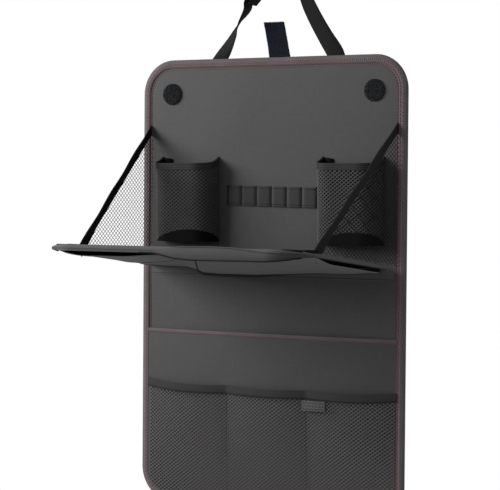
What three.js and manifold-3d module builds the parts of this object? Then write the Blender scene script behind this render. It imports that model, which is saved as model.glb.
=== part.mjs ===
// A car seat-back cover with pockets and a fold-down tray, hung from a headrest by two webbing straps.
// Millimetres. +X is the cover's right, -Y its front, +Z up. The flat back face lies in the plane y = 0
// and the origin is the middle of that face. The tray is shown folded down, held by its two net gussets.
import * as THREE from 'three';
import Module from 'manifold-3d';
import { mergeVertices } from 'three/addons/utils/BufferGeometryUtils.js';

const wasm = await Module();
wasm.setup();

// Clearance between pieces that touch
const GAP = 0.3;

// Panel: a board between a front sheet and a lining, with a binding folded round the edge
const PANEL_WIDTH = 410;
const PANEL_HEIGHT = 630;
const PANEL_CORNER = 48;
const BINDING_WIDTH = 12;
const BINDING_THICK = 1;
const LINING_RIM = 0.8;
const LINING_THICK = 2.4;
const BOARD_THICK = 2.5;
const SHEET_THICK = 1;
const BINDING_EASE = 1.2;

// Tray: a thinner stack of the same kind, turned up at rest and hinged on a strip of cloth
const TRAY_WIDTH = PANEL_WIDTH - 27;
const TRAY_LENGTH = 272;
const TRAY_FRONT_CORNER = 50;
const TRAY_REAR_CORNER = 15;
const TRAY_BINDING_WIDTH = 11;
const TRAY_BINDING_THICK = 0.8;
const TRAY_COVER_THICK = 0.8;
const TRAY_BOARD_THICK = 2.5;
const TRAY_REST_TILT = THREE.MathUtils.degToRad(6.05);
const TRAY_REAR_SETBACK = 2;
const HINGE_STAND_OFF = 12.35;
const HINGE_HEIGHT = 28.6;

// Hook-and-loop dots that hold the tray shut
const DOT_RADIUS = 14.5;
const DOT_THICK = 2;
const DOT_SPREAD = 157;
const DOT_HEIGHT = 266.6;
const HOOK_DOT_RADIUS = 13.5;
const HOOK_DOT_REACH = 233.5;

// Pen loops: one band of cloth sewn down between its loops
const PEN_LOOPS = 6;
const PEN_LOOP_PITCH = 23.4;
const PEN_BAND_MIDDLE = 3.4;
const PEN_BAND_FOOT = 109.2;
const PEN_BAND_TALL = 27.6;
const PEN_LOOP_RISE = 5.6;
const PEN_BAND_THICK = 1;
const PEN_STITCH_FLAT = 2;
const PEN_LOOP_STEPS = 6;

// Cup pockets: a net wall round a cloth base, with an elastic band along the mouth
const CUP_MIDDLE = 126.5;
const CUP_HALF_WIDTH = 45.5;
const CUP_DEPTH = 38;
const CUP_CORNER = 26;
const CUP_FOOT = 60;
const CUP_MOUTH = 178;
const CUP_MOUTH_DIP = 11;
const CUP_FOOT_SHARE = 0.8;
const CUP_NET_THICK = 1;
const CUP_BAND_TALL = 10;
const CUP_BAND_THICK = 2.2;
const CUP_BASE_THICK = 1;
const CUP_COLUMNS = 8;
const CUP_ROWS = 5;
const CUP_STEPS = 18;

// Flat pocket across the lower panel, and the net pocket in front of it, sewn down at two seams
const POCKET_SHEET_THICK = 0.9;
const POCKET_MOUTH = -67.2;
const POCKET_BOW = 8;
const POCKET_BINDING_TALL = 5.5;
const POCKET_BINDING_THICK = 1.6;
const NET_MOUTH = -140.5;
const NET_HEM_TALL = 12;
const NET_HEM_THICK = 1.7;
const NET_THICK = 1;
const NET_BOW = 8;
const NET_SEAM = 62;
const NET_TAB_WIDTH = 35;
const NET_TAB_TALL = 14;
const NET_TAB_THICK = 0.8;
const NET_TAB_MIDDLE = 76.5;
const NET_TAB_DROP = 2;
const NET_TAB_STAND_OFF = 2.6;
const POCKET_COLUMNS = 12;
const POCKET_ROWS = 4;
const POUCH_COLUMNS = 4;
const NET_ROWS = 3;
const CORNER_ROWS = 3;
const OUTLINE_STEPS = 7;

// Net gussets between the panel's edge and the tray's sides, taped along their long edge
const GUSSET_TOP = 223;
const GUSSET_EDGE = TRAY_WIDTH / 2;
const GUSSET_FOOT_SPREAD = GUSSET_EDGE - 19.2;
const GUSSET_FOOT_REACH = 206;
const GUSSET_NET_THICK = 1;
const GUSSET_TAPE_WIDTH = 11;
const GUSSET_TAPE_FLARE = 16;
const GUSSET_TAPE_THICK = 2.2;
const FOOT_TAPE_WIDTH = 9;
const FOOT_TAPE_OFFSET = 3.6;
const FOOT_TAPE_LENGTH = 34;
const FOOT_TAPE_THICK = 1.2;

// Diamonds of the nets
const DIAMOND_SHARE = 0.8;
const DIAMOND_WIDE = 23;
const DIAMOND_TALL = 27;
const DIAMOND_WIRE = 4;
const NET_MARGIN = 3;

// Hanging straps, the ring that joins them and the hook-and-loop tab between them
const WEBBING_WIDTH = 25;
const WEBBING_THICK = 1.4;
const SLOT_WIDTH = 34;
const SLOT_THICK = 2.4;
const SLOT_DEPTH = 14;
const LEFT_STRAP_FOOT = -80.5;
const RIGHT_STRAP_FOOT = 97.6;
const RING_WIDTH = 36;
const RING_BAR = 4;
const RING_BAR_SPACING = 14;
const TAB_WIDTH = 31;
const TAB_TALL = 48;
const TAB_THICK = 1.6;
const TAB_FOOT = 12.4;
const TAB_LEAN = -8.2;

// Cloth strip that hinges the tray
const HINGE_TAPE_HALF = TRAY_WIDTH / 2 - 2.5;
const HINGE_TAPE_THICK = 0.9;

// Soft sheet slung under the tray and the lip that hangs at the tray's front edge
const SLEEVE_HALF = TRAY_WIDTH / 2 - 6.5;
const SLEEVE_REAR = 22;
const SLEEVE_FRONT = 258;
const SLEEVE_THICK = 0.9;
const SLEEVE_SEAT = 0.3;
const SLEEVE_GAPE = 5;
const SLEEVE_SAG = 11;
const SLEEVE_SIDE_GAP = 5;
const SLEEVE_SIDE_WIDE = 45;
const SLEEVE_SAG_HALF = 92;
const SLEEVE_SAG_EDGE = 24;
const SLEEVE_HEM_LONG = 6;
const SLEEVE_HEM_THICK = 1.6;
const LIP_THICK = 1.2;
const LIP_LEAST = 1.4;
const LIP_DROOP = 8.6;
const LIP_DROOP_MIDDLE = 75;
const LIP_DROOP_HALF = 112;
const LIP_STEPS = 26;

// Depths of the panel's layers, worked out from the back face
const liningFront = -LINING_THICK;
const liningRimBack = -LINING_THICK + LINING_RIM;
const boardBack = liningFront - GAP;
const boardFront = boardBack - BOARD_THICK;
const sheetBack = boardFront - GAP;
const sheetFront = sheetBack - SHEET_THICK;
const bindingFront = sheetFront - GAP - BINDING_THICK;
const bindingBack = liningRimBack + GAP + BINDING_THICK;
const panelInset = BINDING_THICK + GAP;
const clothInset = BINDING_WIDTH + GAP;
const panelTop = PANEL_HEIGHT / 2;
const webbingDepth = (boardBack + boardFront) / 2;
const hingeDepth = sheetFront - HINGE_STAND_OFF;

// Heights of the tray's layers, worked out from its middle
const trayBoardHalf = TRAY_BOARD_THICK / 2;
const trayFace = trayBoardHalf + GAP + TRAY_COVER_THICK;
const trayRim = trayFace + GAP + TRAY_BINDING_THICK;
const trayPanelInset = TRAY_BINDING_THICK + GAP;

const dark = new THREE.MeshStandardMaterial({ color: 0x4b4a4a, roughness: 0.62, metalness: 0 });
const tape = new THREE.MeshStandardMaterial({ color: 0x706a69, roughness: 0.7, metalness: 0 });
const lining = new THREE.MeshStandardMaterial({ color: 0x2c2c2d, roughness: 0.9, metalness: 0 });
const board = new THREE.MeshStandardMaterial({ color: 0x8c877d, roughness: 0.8, metalness: 0 });
const netting = new THREE.MeshStandardMaterial({ color: 0x1c1c1d, roughness: 0.9, metalness: 0 });
const webbing = new THREE.MeshStandardMaterial({ color: 0x242425, roughness: 0.85, metalness: 0 });
const fuzz = new THREE.MeshStandardMaterial({ color: 0x161719, roughness: 1, metalness: 0 });
const plastic = new THREE.MeshStandardMaterial({ color: 0x151516, roughness: 0.45, metalness: 0 });

const cover = new THREE.Group();
const tray = new THREE.Group();
tray.position.set(0, hingeDepth, HINGE_HEIGHT);
tray.rotation.x = -TRAY_REST_TILT;
cover.add(tray);

function addTo(group, name, geometry, material) {
  const piece = new THREE.Mesh(geometry, material);
  piece.name = name;
  group.add(piece);
}

// Six times the volume, positive when the faces point out
function signedVolume(geometry) {
  const at = geometry.getAttribute('position');
  const index = geometry.getIndex();
  const corner = [new THREE.Vector3(), new THREE.Vector3(), new THREE.Vector3()];
  let sum = 0;
  for (let i = 0; i < index.count; i += 3) {
    corner.forEach((point, k) => point.fromBufferAttribute(at, index.getX(i + k)));
    sum += corner[0].dot(corner[1].cross(corner[2]));
  }
  return sum;
}

// Merges shared corners and turns the faces outwards
function closeUp(geometry) {
  geometry.deleteAttribute('normal');
  geometry.deleteAttribute('uv');
  const solid = mergeVertices(geometry, 1e-3);
  if (signedVolume(solid) < 0) {
    const index = solid.getIndex();
    for (let i = 0; i < index.count; i += 3) {
      const first = index.getX(i);
      index.setX(i, index.getX(i + 1));
      index.setX(i + 1, first);
    }
  }
  return solid;
}

function solidFrom(points, faces) {
  const geometry = new THREE.BufferGeometry().setFromPoints(points);
  geometry.setIndex(faces);
  return closeUp(geometry);
}

// A skin through rings of points. A loop joins its last ring to its first, and otherwise the ends are capped.
function skin(rings, isLoop) {
  const size = rings[0].length;
  const faces = [];
  const spans = isLoop ? rings.length : rings.length - 1;
  for (let r = 0; r < spans; r += 1) {
    const here = r * size;
    const next = ((r + 1) % rings.length) * size;
    for (let i = 0; i < size; i += 1) {
      const j = (i + 1) % size;
      faces.push(here + i, here + j, next + j, here + i, next + j, next + i);
    }
  }
  if (!isLoop) {
    const last = (rings.length - 1) * size;
    for (let i = 1; i < size - 1; i += 1) {
      faces.push(0, i + 1, i, last, last + i, last + i + 1);
    }
  }
  return solidFrom(rings.flat(), faces);
}

// The grid of a sheet given by place(u, v, side), with u and v from 0 to 1 and side 0 or 1 for its two faces.
// It has its points, its rim faces and the number of each corner, and leaves the cells' faces to be added.
function sheetGrid(columns, rows, place) {
  const points = [];
  const faces = [];
  const corner = (i, j, side) => (side * (rows + 1) + j) * (columns + 1) + i;
  const quad = (a, b, c, d) => faces.push(a, b, c, a, c, d);
  for (let side = 0; side < 2; side += 1) {
    for (let j = 0; j <= rows; j += 1) {
      for (let i = 0; i <= columns; i += 1) {
        points.push(place(i / columns, j / rows, side));
      }
    }
  }
  for (let i = 0; i < columns; i += 1) {
    quad(corner(i, 0, 0), corner(i, 0, 1), corner(i + 1, 0, 1), corner(i + 1, 0, 0));
    quad(corner(i, rows, 0), corner(i + 1, rows, 0), corner(i + 1, rows, 1), corner(i, rows, 1));
  }
  for (let j = 0; j < rows; j += 1) {
    quad(corner(0, j, 0), corner(0, j + 1, 0), corner(0, j + 1, 1), corner(0, j, 1));
    quad(corner(columns, j, 0), corner(columns, j, 1), corner(columns, j + 1, 1), corner(columns, j + 1, 0));
  }
  return { points, faces, corner, quad };
}

function sheet(columns, rows, place) {
  const { points, faces, corner, quad } = sheetGrid(columns, rows, place);
  for (let j = 0; j < rows; j += 1) {
    for (let i = 0; i < columns; i += 1) {
      quad(corner(i, j, 0), corner(i + 1, j, 0), corner(i + 1, j + 1, 0), corner(i, j + 1, 0));
      quad(corner(i, j, 1), corner(i, j + 1, 1), corner(i + 1, j + 1, 1), corner(i + 1, j, 1));
    }
  }
  return solidFrom(points, faces);
}

// A sheet with a diamond hole in each of its cells
function netSheet(columns, rows, place) {
  const { points, faces, corner, quad } = sheetGrid(columns, rows, place);
  const reach = DIAMOND_SHARE / 2;
  const tips = [[0, -reach], [reach, 0], [0, reach], [-reach, 0]];
  for (let j = 0; j < rows; j += 1) {
    for (let i = 0; i < columns; i += 1) {
      const first = points.length;
      for (let side = 0; side < 2; side += 1) {
        tips.forEach(([a, b]) => points.push(place((i + 0.5 + a) / columns, (j + 0.5 + b) / rows, side)));
        const ring = [corner(i, j, side), corner(i + 1, j, side), corner(i + 1, j + 1, side), corner(i, j + 1, side)];
        const tip = (k) => first + side * 4 + (k % 4);
        ring.forEach((here, k) => {
          const next = ring[(k + 1) % 4];
          const pair = [[here, next, tip(k)], [here, tip(k), tip(k + 3)]];
          pair.forEach((face) => faces.push(...(side === 0 ? face : face.toReversed())));
        });
      }
      tips.forEach((unused, k) => quad(first + k, first + ((k + 1) % 4), first + 4 + ((k + 1) % 4), first + 4 + k));
    }
  }
  return solidFrom(points, faces);
}

// A flat net cut from an outline and its holes, then laid in space by place(u, v, depth)
function net(outline, holes, thick, place) {
  const shape = new THREE.Shape(outline.map(([u, v]) => new THREE.Vector2(u, v)));
  shape.holes = holes.map((hole) => new THREE.Path(hole.map(([u, v]) => new THREE.Vector2(u, v))));
  const geometry = new THREE.ExtrudeGeometry(shape, { depth: thick, bevelEnabled: false });
  const at = geometry.getAttribute('position');
  for (let i = 0; i < at.count; i += 1) {
    const point = place(at.getX(i), at.getY(i), at.getZ(i));
    at.setXYZ(i, point.x, point.y, point.z);
  }
  return closeUp(geometry);
}

// Staggered diamonds whose four corners all pass the test
function diamonds(width, height, wide, tall, isInside) {
  const holes = [];
  const halfWide = (wide - DIAMOND_WIRE) / 2;
  const halfTall = (tall - DIAMOND_WIRE) / 2;
  for (let row = 0; (row / 2) * tall <= height; row += 1) {
    const v = (row * tall) / 2;
    const shift = row % 2 === 0 ? 0 : wide / 2;
    for (let u = shift; u <= width; u += wide) {
      const hole = [[u - halfWide, v], [u, v - halfTall], [u + halfWide, v], [u, v + halfTall]];
      if (hole.every(([a, b]) => isInside(a, b))) {
        holes.push(hole);
      }
    }
  }
  return holes;
}

function toSolid(geometry) {
  const triVerts = new Uint32Array(geometry.getIndex().array);
  const vertProperties = new Float32Array(geometry.getAttribute('position').array);
  return new wasm.Manifold(new wasm.Mesh({ numProp: 3, vertProperties, triVerts }));
}

function toGeometry(solid) {
  const result = solid.getMesh();
  const geometry = new THREE.BufferGeometry();
  geometry.setAttribute('position', new THREE.BufferAttribute(result.vertProperties, 3));
  geometry.setIndex(new THREE.BufferAttribute(result.triVerts, 1));
  return geometry;
}

function cut(geometry, tools) {
  const whole = tools.reduce((solid, tool) => solid.subtract(toSolid(closeUp(tool))), toSolid(geometry));
  return toGeometry(whole);
}

function block(width, depth, height, x, y, z) {
  return new THREE.BoxGeometry(width, depth, height).translate(x, y, z);
}

// Outlines, as points that stay in step whatever the inset

function roundedOutline(corners, steps) {
  const points = [];
  corners.forEach(({ x, y, radius, start }) => {
    for (let i = 0; i <= steps; i += 1) {
      const angle = start + (Math.PI / 2) * (i / steps);
      points.push([x + radius * Math.cos(angle), y + radius * Math.sin(angle)]);
    }
  });
  return points;
}

function panelOutline(inset) {
  const x = PANEL_WIDTH / 2 - PANEL_CORNER;
  const y = PANEL_HEIGHT / 2 - PANEL_CORNER;
  const radius = PANEL_CORNER - inset;
  return roundedOutline([
    { x, y, radius, start: 0 },
    { x: -x, y, radius, start: Math.PI / 2 },
    { x: -x, y: -y, radius, start: Math.PI },
    { x, y: -y, radius, start: Math.PI * 1.5 },
  ], OUTLINE_STEPS);
}

function trayOutline(inset) {
  const frontX = TRAY_WIDTH / 2 - TRAY_FRONT_CORNER;
  const rearX = TRAY_WIDTH / 2 - TRAY_REAR_CORNER;
  const frontY = -(TRAY_REAR_SETBACK + TRAY_LENGTH - TRAY_FRONT_CORNER);
  const rearY = -(TRAY_REAR_SETBACK + TRAY_REAR_CORNER);
  const front = TRAY_FRONT_CORNER - inset;
  const rear = TRAY_REAR_CORNER - inset;
  return roundedOutline([
    { x: rearX, y: rearY, radius: rear, start: 0 },
    { x: -rearX, y: rearY, radius: rear, start: Math.PI / 2 },
    { x: -frontX, y: frontY, radius: front, start: Math.PI },
    { x: frontX, y: frontY, radius: front, start: Math.PI * 1.5 },
  ], OUTLINE_STEPS);
}

const onPanel = ([x, z], y) => new THREE.Vector3(x, y, z);
const onTray = ([x, y], z) => new THREE.Vector3(x, y, z);

// A plate whose outline steps in or out through its thickness
function layer(outline, levels, place) {
  return skin(levels.map(([inset, depth]) => outline(inset).map((point) => place(point, depth))), false);
}

// Cloth folded round an edge: the section's points are [inset, depth]
function foldedEdge(outline, section, place) {
  const rows = section.map(([inset, depth]) => outline(inset).map((point) => place(point, depth)));
  return skin(rows[0].map((unused, station) => rows.map((row) => row[station])), true);
}

// The section of a binding that wraps an edge from one face round to the other
function bindingSection(width, thick, ease, front, back) {
  const inward = front < back ? 1 : -1;
  return [
    [width, front],
    [ease, front],
    [0, front + ease * inward],
    [0, back - ease * inward],
    [ease, back],
    [width, back],
    [width, back - thick * inward],
    [thick + GAP, back - thick * inward],
    [thick, back - (thick + GAP) * inward],
    [thick, front + (thick + GAP) * inward],
    [thick + GAP, front + thick * inward],
    [width, front + thick * inward],
  ];
}

// Panel

const slotMiddles = [LEFT_STRAP_FOOT - 1.6, TAB_FOOT, RIGHT_STRAP_FOOT + 2.2];

function topSlots(depth) {
  return slotMiddles.map((x) => block(SLOT_WIDTH, depth, SLOT_DEPTH * 2, x, webbingDepth, panelTop));
}

function buildPanel() {
  const front = layer(panelOutline, [[panelInset, sheetBack], [panelInset, sheetFront]], onPanel);
  addTo(cover, 'front_sheet', front, dark);
  const stiffener = layer(panelOutline, [[panelInset, boardBack], [panelInset, boardFront]], onPanel);
  addTo(cover, 'stiffener_board', cut(stiffener, topSlots(BOARD_THICK + 1)), board);
  const levels = [[panelInset, liningFront], [panelInset, liningRimBack], [clothInset, liningRimBack], [clothInset, 0]];
  addTo(cover, 'rear_lining', layer(panelOutline, levels, onPanel), lining);
  const section = bindingSection(BINDING_WIDTH, BINDING_THICK, BINDING_EASE, bindingFront, bindingBack);
  const edge = foldedEdge(panelOutline, section, onPanel);
  addTo(cover, 'edge_binding', cut(edge, topSlots(SLOT_THICK)), tape);
}

function dot(radius, x, y, z) {
  const profile = [
    new THREE.Vector2(0, 0),
    new THREE.Vector2(radius - 0.4, 0),
    new THREE.Vector2(radius, 0.5),
    new THREE.Vector2(radius - 0.5, DOT_THICK - 0.3),
    new THREE.Vector2(radius - 2, DOT_THICK),
    new THREE.Vector2(0, DOT_THICK),
  ];
  return closeUp(new THREE.LatheGeometry(profile, 18)).translate(x, y, z);
}

function buildDots() {
  for (const [side, sign] of [['left', -1], ['right', 1]]) {
    const loop = dot(DOT_RADIUS, 0, 0, 0).rotateX(Math.PI);
    loop.translate(sign * DOT_SPREAD, sheetFront - GAP, DOT_HEIGHT);
    addTo(cover, `${side}_loop_dot`, loop, fuzz);
    const hook = dot(HOOK_DOT_RADIUS, 0, 0, 0).rotateX(Math.PI / 2);
    hook.translate(sign * DOT_SPREAD, -HOOK_DOT_REACH, trayFace + GAP);
    addTo(tray, `${side}_hook_dot`, hook, fuzz);
  }
}

function buildPenLoops() {
  const width = PEN_LOOPS * PEN_LOOP_PITCH;
  const half = (PEN_LOOP_PITCH - PEN_STITCH_FLAT) / 2;
  const rise = (x) => {
    const fromSeam = ((x % PEN_LOOP_PITCH) + PEN_LOOP_PITCH) % PEN_LOOP_PITCH;
    const across = (fromSeam - PEN_LOOP_PITCH / 2) / half;
    return Math.abs(across) >= 1 ? 0 : PEN_LOOP_RISE * Math.sqrt(1 - across * across);
  };
  const band = sheet(PEN_LOOPS * PEN_LOOP_STEPS, 1, (u, v, side) => {
    const x = u * width;
    const y = sheetFront - GAP - rise(x) - side * PEN_BAND_THICK;
    return new THREE.Vector3(PEN_BAND_MIDDLE - width / 2 + x, y, PEN_BAND_FOOT + v * PEN_BAND_TALL);
  });
  addTo(cover, 'pen_loop_band', band, dark);
}

// Cup pockets. The wall's plan is a U that leaves the panel, turns two round corners and comes back.

const cupPlan = new THREE.Path();
cupPlan.moveTo(-CUP_HALF_WIDTH, 0);
cupPlan.lineTo(-CUP_HALF_WIDTH, -(CUP_DEPTH - CUP_CORNER));
cupPlan.absarc(-(CUP_HALF_WIDTH - CUP_CORNER), -(CUP_DEPTH - CUP_CORNER), CUP_CORNER, Math.PI, Math.PI * 1.5, false);
cupPlan.lineTo(CUP_HALF_WIDTH - CUP_CORNER, -CUP_DEPTH);
cupPlan.absarc(CUP_HALF_WIDTH - CUP_CORNER, -(CUP_DEPTH - CUP_CORNER), CUP_CORNER, Math.PI * 1.5, Math.PI * 2, false);
cupPlan.lineTo(CUP_HALF_WIDTH, 0);
const cupBack = sheetFront - GAP;

const cupMouthAt = (share) => CUP_MOUTH - CUP_MOUTH_DIP * Math.sin(Math.PI * share);

// A point of the wall: share of the girth, height from the foot up, and distance out from its middle
function onCup(middle, share, z, out) {
  const at = cupPlan.getPointAt(THREE.MathUtils.clamp(share, 0, 1));
  const along = cupPlan.getTangentAt(THREE.MathUtils.clamp(share, 0, 1));
  const rise = THREE.MathUtils.clamp((z - CUP_FOOT) / (CUP_MOUTH - CUP_FOOT), 0, 1);
  const shrink = THREE.MathUtils.lerp(CUP_FOOT_SHARE, 1, rise);
  return new THREE.Vector3(middle + at.x + along.y * out, cupBack + Math.min(0, at.y * shrink - along.x * out), z);
}

function buildCup(side, middle) {
  const wall = netSheet(CUP_COLUMNS, CUP_ROWS, (u, v, face) => {
    const netTop = cupMouthAt(u) - CUP_BAND_TALL - GAP;
    return onCup(middle, u, THREE.MathUtils.lerp(CUP_FOOT, netTop, v), (face - 0.5) * CUP_NET_THICK);
  });
  addTo(cover, `${side}_cup_net`, wall, netting);
  const band = sheet(CUP_STEPS, 1, (u, v, face) => {
    const z = cupMouthAt(u) - CUP_BAND_TALL * (1 - v);
    return onCup(middle, u, z, (face - 0.5) * CUP_BAND_THICK);
  });
  addTo(cover, `${side}_cup_band`, band, webbing);
  const floor = Array.from({ length: CUP_STEPS + 1 }, (unused, i) => onCup(middle, i / CUP_STEPS, CUP_FOOT, 0));
  const lower = floor.map((point) => point.clone().setZ(CUP_FOOT - GAP - CUP_BASE_THICK));
  const upper = floor.map((point) => point.clone().setZ(CUP_FOOT - GAP));
  addTo(cover, `${side}_cup_base`, skin([lower, upper], false), netting);
}

// Pockets of the lower panel

// Half the width between the side bindings, which the round lower corners narrow
function clothHalfWidth(z) {
  const radius = PANEL_CORNER - clothInset;
  const below = Math.max(0, -(PANEL_HEIGHT / 2 - PANEL_CORNER) - z);
  return PANEL_WIDTH / 2 - PANEL_CORNER + Math.sqrt(Math.max(0, radius * radius - below * below));
}

// Heights from a mouth down to the foot, closer together round the corners
function clothHeights(top, rows) {
  const bend = -(PANEL_HEIGHT / 2 - PANEL_CORNER);
  const radius = PANEL_CORNER - clothInset;
  const straight = Array.from({ length: rows }, (unused, i) => THREE.MathUtils.lerp(top, bend, i / rows));
  const round = Array.from({ length: CORNER_ROWS + 1 }, (unused, i) => {
    return bend - radius * Math.sin((Math.PI / 2) * (i / CORNER_ROWS));
  });
  return [...straight, ...round];
}

// The height at a share of the way down the list, between two of its heights where it falls between them
function heightAt(heights, share) {
  const row = Math.min(Math.floor(share * (heights.length - 1)), heights.length - 2);
  return THREE.MathUtils.lerp(heights[row], heights[row + 1], share * (heights.length - 1) - row);
}

// The place across the net's three pouches, each a third of the way
function pouchX(share, half) {
  if (share < 1 / 3) {
    return THREE.MathUtils.lerp(-half, -NET_SEAM, share * 3);
  }
  if (share < 2 / 3) {
    return THREE.MathUtils.lerp(-NET_SEAM, NET_SEAM, share * 3 - 1);
  }
  return THREE.MathUtils.lerp(NET_SEAM, half, share * 3 - 2);
}

const clothFoot = -(PANEL_HEIGHT / 2 - clothInset);

// How far the flat pocket stands off the panel
function pocketBow(x, z) {
  const across = x / (PANEL_WIDTH / 2 - clothInset);
  const down = THREE.MathUtils.clamp((POCKET_MOUTH - z) / (POCKET_MOUTH - clothFoot), 0, 1);
  return POCKET_BOW * Math.max(0, 1 - across * across) * Math.cos((Math.PI / 2) * down);
}

// How far the net stands off the flat pocket: three pouches between the sides and the two seams
function netBow(x, z) {
  const half = (PANEL_WIDTH / 2 - clothInset - NET_SEAM) / 2;
  const sideways = Math.abs(x) < NET_SEAM ? x / NET_SEAM : (Math.abs(x) - NET_SEAM - half) / half;
  const down = THREE.MathUtils.clamp((NET_MOUTH - z) / (NET_MOUTH - clothFoot), 0, 1);
  return NET_BOW * Math.max(0, 1 - sideways * sideways) * Math.cos((Math.PI / 2) * down);
}

const pocketFace = (x, z) => sheetFront - GAP - pocketBow(x, z);
const netFace = (x, z) => pocketFace(x, z) - POCKET_SHEET_THICK - GAP - netBow(x, z);

// A strip across the pockets between two heights
function strip(low, high, thick, faceAt) {
  return sheet(POUCH_COLUMNS * 6, 1, (u, v, side) => {
    const z = THREE.MathUtils.lerp(low, high, v);
    const x = pouchX(u, clothHalfWidth(z));
    return new THREE.Vector3(x, faceAt(x, z) - side * thick, z);
  });
}

function buildPockets() {
  const pocketHeights = clothHeights(POCKET_MOUTH - POCKET_BINDING_TALL - GAP, POCKET_ROWS);
  const front = sheet(POCKET_COLUMNS, pocketHeights.length - 1, (u, v, side) => {
    const z = heightAt(pocketHeights, v);
    const x = pouchX(u, clothHalfWidth(z));
    return new THREE.Vector3(x, pocketFace(x, z) - side * POCKET_SHEET_THICK, z);
  });
  addTo(cover, 'flat_pocket_front', front, dark);
  const lip = strip(POCKET_MOUTH - POCKET_BINDING_TALL, POCKET_MOUTH, POCKET_BINDING_THICK, pocketFace);
  addTo(cover, 'flat_pocket_binding', lip, tape);

  const netTop = NET_MOUTH - NET_HEM_TALL - GAP;
  const netHeights = clothHeights(netTop, NET_ROWS);
  const wall = netSheet(POUCH_COLUMNS * 3, netHeights.length - 1, (u, v, side) => {
    const z = heightAt(netHeights, v);
    const x = pouchX(u, clothHalfWidth(z));
    return new THREE.Vector3(x, netFace(x, z) - side * NET_THICK, z);
  });
  addTo(cover, 'net_pocket', wall, netting);
  addTo(cover, 'net_pocket_hem', strip(NET_MOUTH - NET_HEM_TALL, NET_MOUTH, NET_HEM_THICK, netFace), dark);
  const tabFace = netFace(NET_TAB_MIDDLE, netTop) - NET_TAB_STAND_OFF - NET_THICK - NET_TAB_THICK / 2;
  const tabZ = netTop - NET_TAB_DROP - NET_TAB_TALL / 2;
  const tab = block(NET_TAB_WIDTH, NET_TAB_THICK, NET_TAB_TALL, NET_TAB_MIDDLE, tabFace, tabZ);
  addTo(cover, 'net_pocket_tab', closeUp(tab), tape);
}

// Gussets

function trayPoint(x, reach, height) {
  const y = hingeDepth - reach * Math.cos(TRAY_REST_TILT) + height * Math.sin(TRAY_REST_TILT);
  const z = HINGE_HEIGHT + reach * Math.sin(TRAY_REST_TILT) + height * Math.cos(TRAY_REST_TILT);
  return new THREE.Vector3(x, y, z);
}

function buildGusset(side, sign) {
  const seat = trayRim + GAP;
  const heel = trayPoint(sign * GUSSET_EDGE, 1.2 - HINGE_STAND_OFF, seat);
  const toe = trayPoint(sign * GUSSET_FOOT_SPREAD, GUSSET_FOOT_REACH, seat);
  const top = new THREE.Vector3(sign * GUSSET_EDGE, heel.y, GUSSET_TOP);
  const up = top.clone().sub(heel).normalize();
  const out = toe.clone().sub(heel);
  out.addScaledVector(up, -out.dot(up)).normalize();
  const across = up.clone().cross(out);
  const height = top.distanceTo(heel);
  const toeUp = toe.clone().sub(heel).dot(up);
  const toeOut = toe.clone().sub(heel).dot(out);
  const place = (u, v, depth) => {
    return heel.clone().addScaledVector(out, u).addScaledVector(up, v).addScaledVector(across, depth);
  };
  // The long edge runs from the top to the toe, and this is its inward normal
  const long = new THREE.Vector2(toeOut, toeUp - height).normalize();
  const inward = new THREE.Vector2(long.y, -long.x);
  const inset = (u, v, by) => [u + inward.x * by, v + inward.y * by];
  const isBelow = (u, v) => (u * inward.x + (v - height) * inward.y);
  const tapeEdge = [inset(0, height, GUSSET_TAPE_WIDTH), inset(toeOut, toeUp, GUSSET_TAPE_FLARE)];
  const slope = (tapeEdge[1][1] - tapeEdge[0][1]) / (tapeEdge[1][0] - tapeEdge[0][0]);
  const startV = tapeEdge[0][1] - slope * tapeEdge[0][0] - GAP * 2;
  const footSlope = toeUp / toeOut;
  const endU = startV / (footSlope - slope);
  const outline = [[0, 0], [endU, endU * footSlope], [0, startV]];
  const isInside = (u, v) => {
    return u > NET_MARGIN && v > u * footSlope + NET_MARGIN && isBelow(u, v) > GUSSET_TAPE_FLARE + NET_MARGIN;
  };
  const holes = diamonds(toeOut, height, DIAMOND_WIDE, DIAMOND_TALL, isInside);
  const half = GUSSET_NET_THICK / 2;
  addTo(cover, `${side}_gusset_net`, net(outline, holes, GUSSET_NET_THICK, (u, v, d) => place(u, v, d - half)), netting);
  const band = [
    [0, height],
    [0, startV + GAP * 2],
    [endU + GAP, (endU + GAP) * footSlope],
    [toeOut, toeUp],
  ];
  const halfTape = GUSSET_TAPE_THICK / 2;
  const strap = net(band, [], GUSSET_TAPE_THICK, (u, v, d) => place(u, v, d - halfTape));
  addTo(cover, `${side}_gusset_tape`, strap, webbing);
}

function buildFootTapes() {
  for (const [side, sign] of [['left', -1], ['right', 1]]) {
    const foot = block(FOOT_TAPE_WIDTH, FOOT_TAPE_LENGTH, FOOT_TAPE_THICK, 0, 0, 0);
    const reach = GUSSET_FOOT_REACH + 3 + FOOT_TAPE_LENGTH / 2;
    foot.translate(sign * (GUSSET_FOOT_SPREAD + FOOT_TAPE_OFFSET), -reach, trayRim + GAP + FOOT_TAPE_THICK / 2);
    addTo(tray, `${side}_foot_tape`, closeUp(foot), webbing);
  }
}

// Straps

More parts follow.
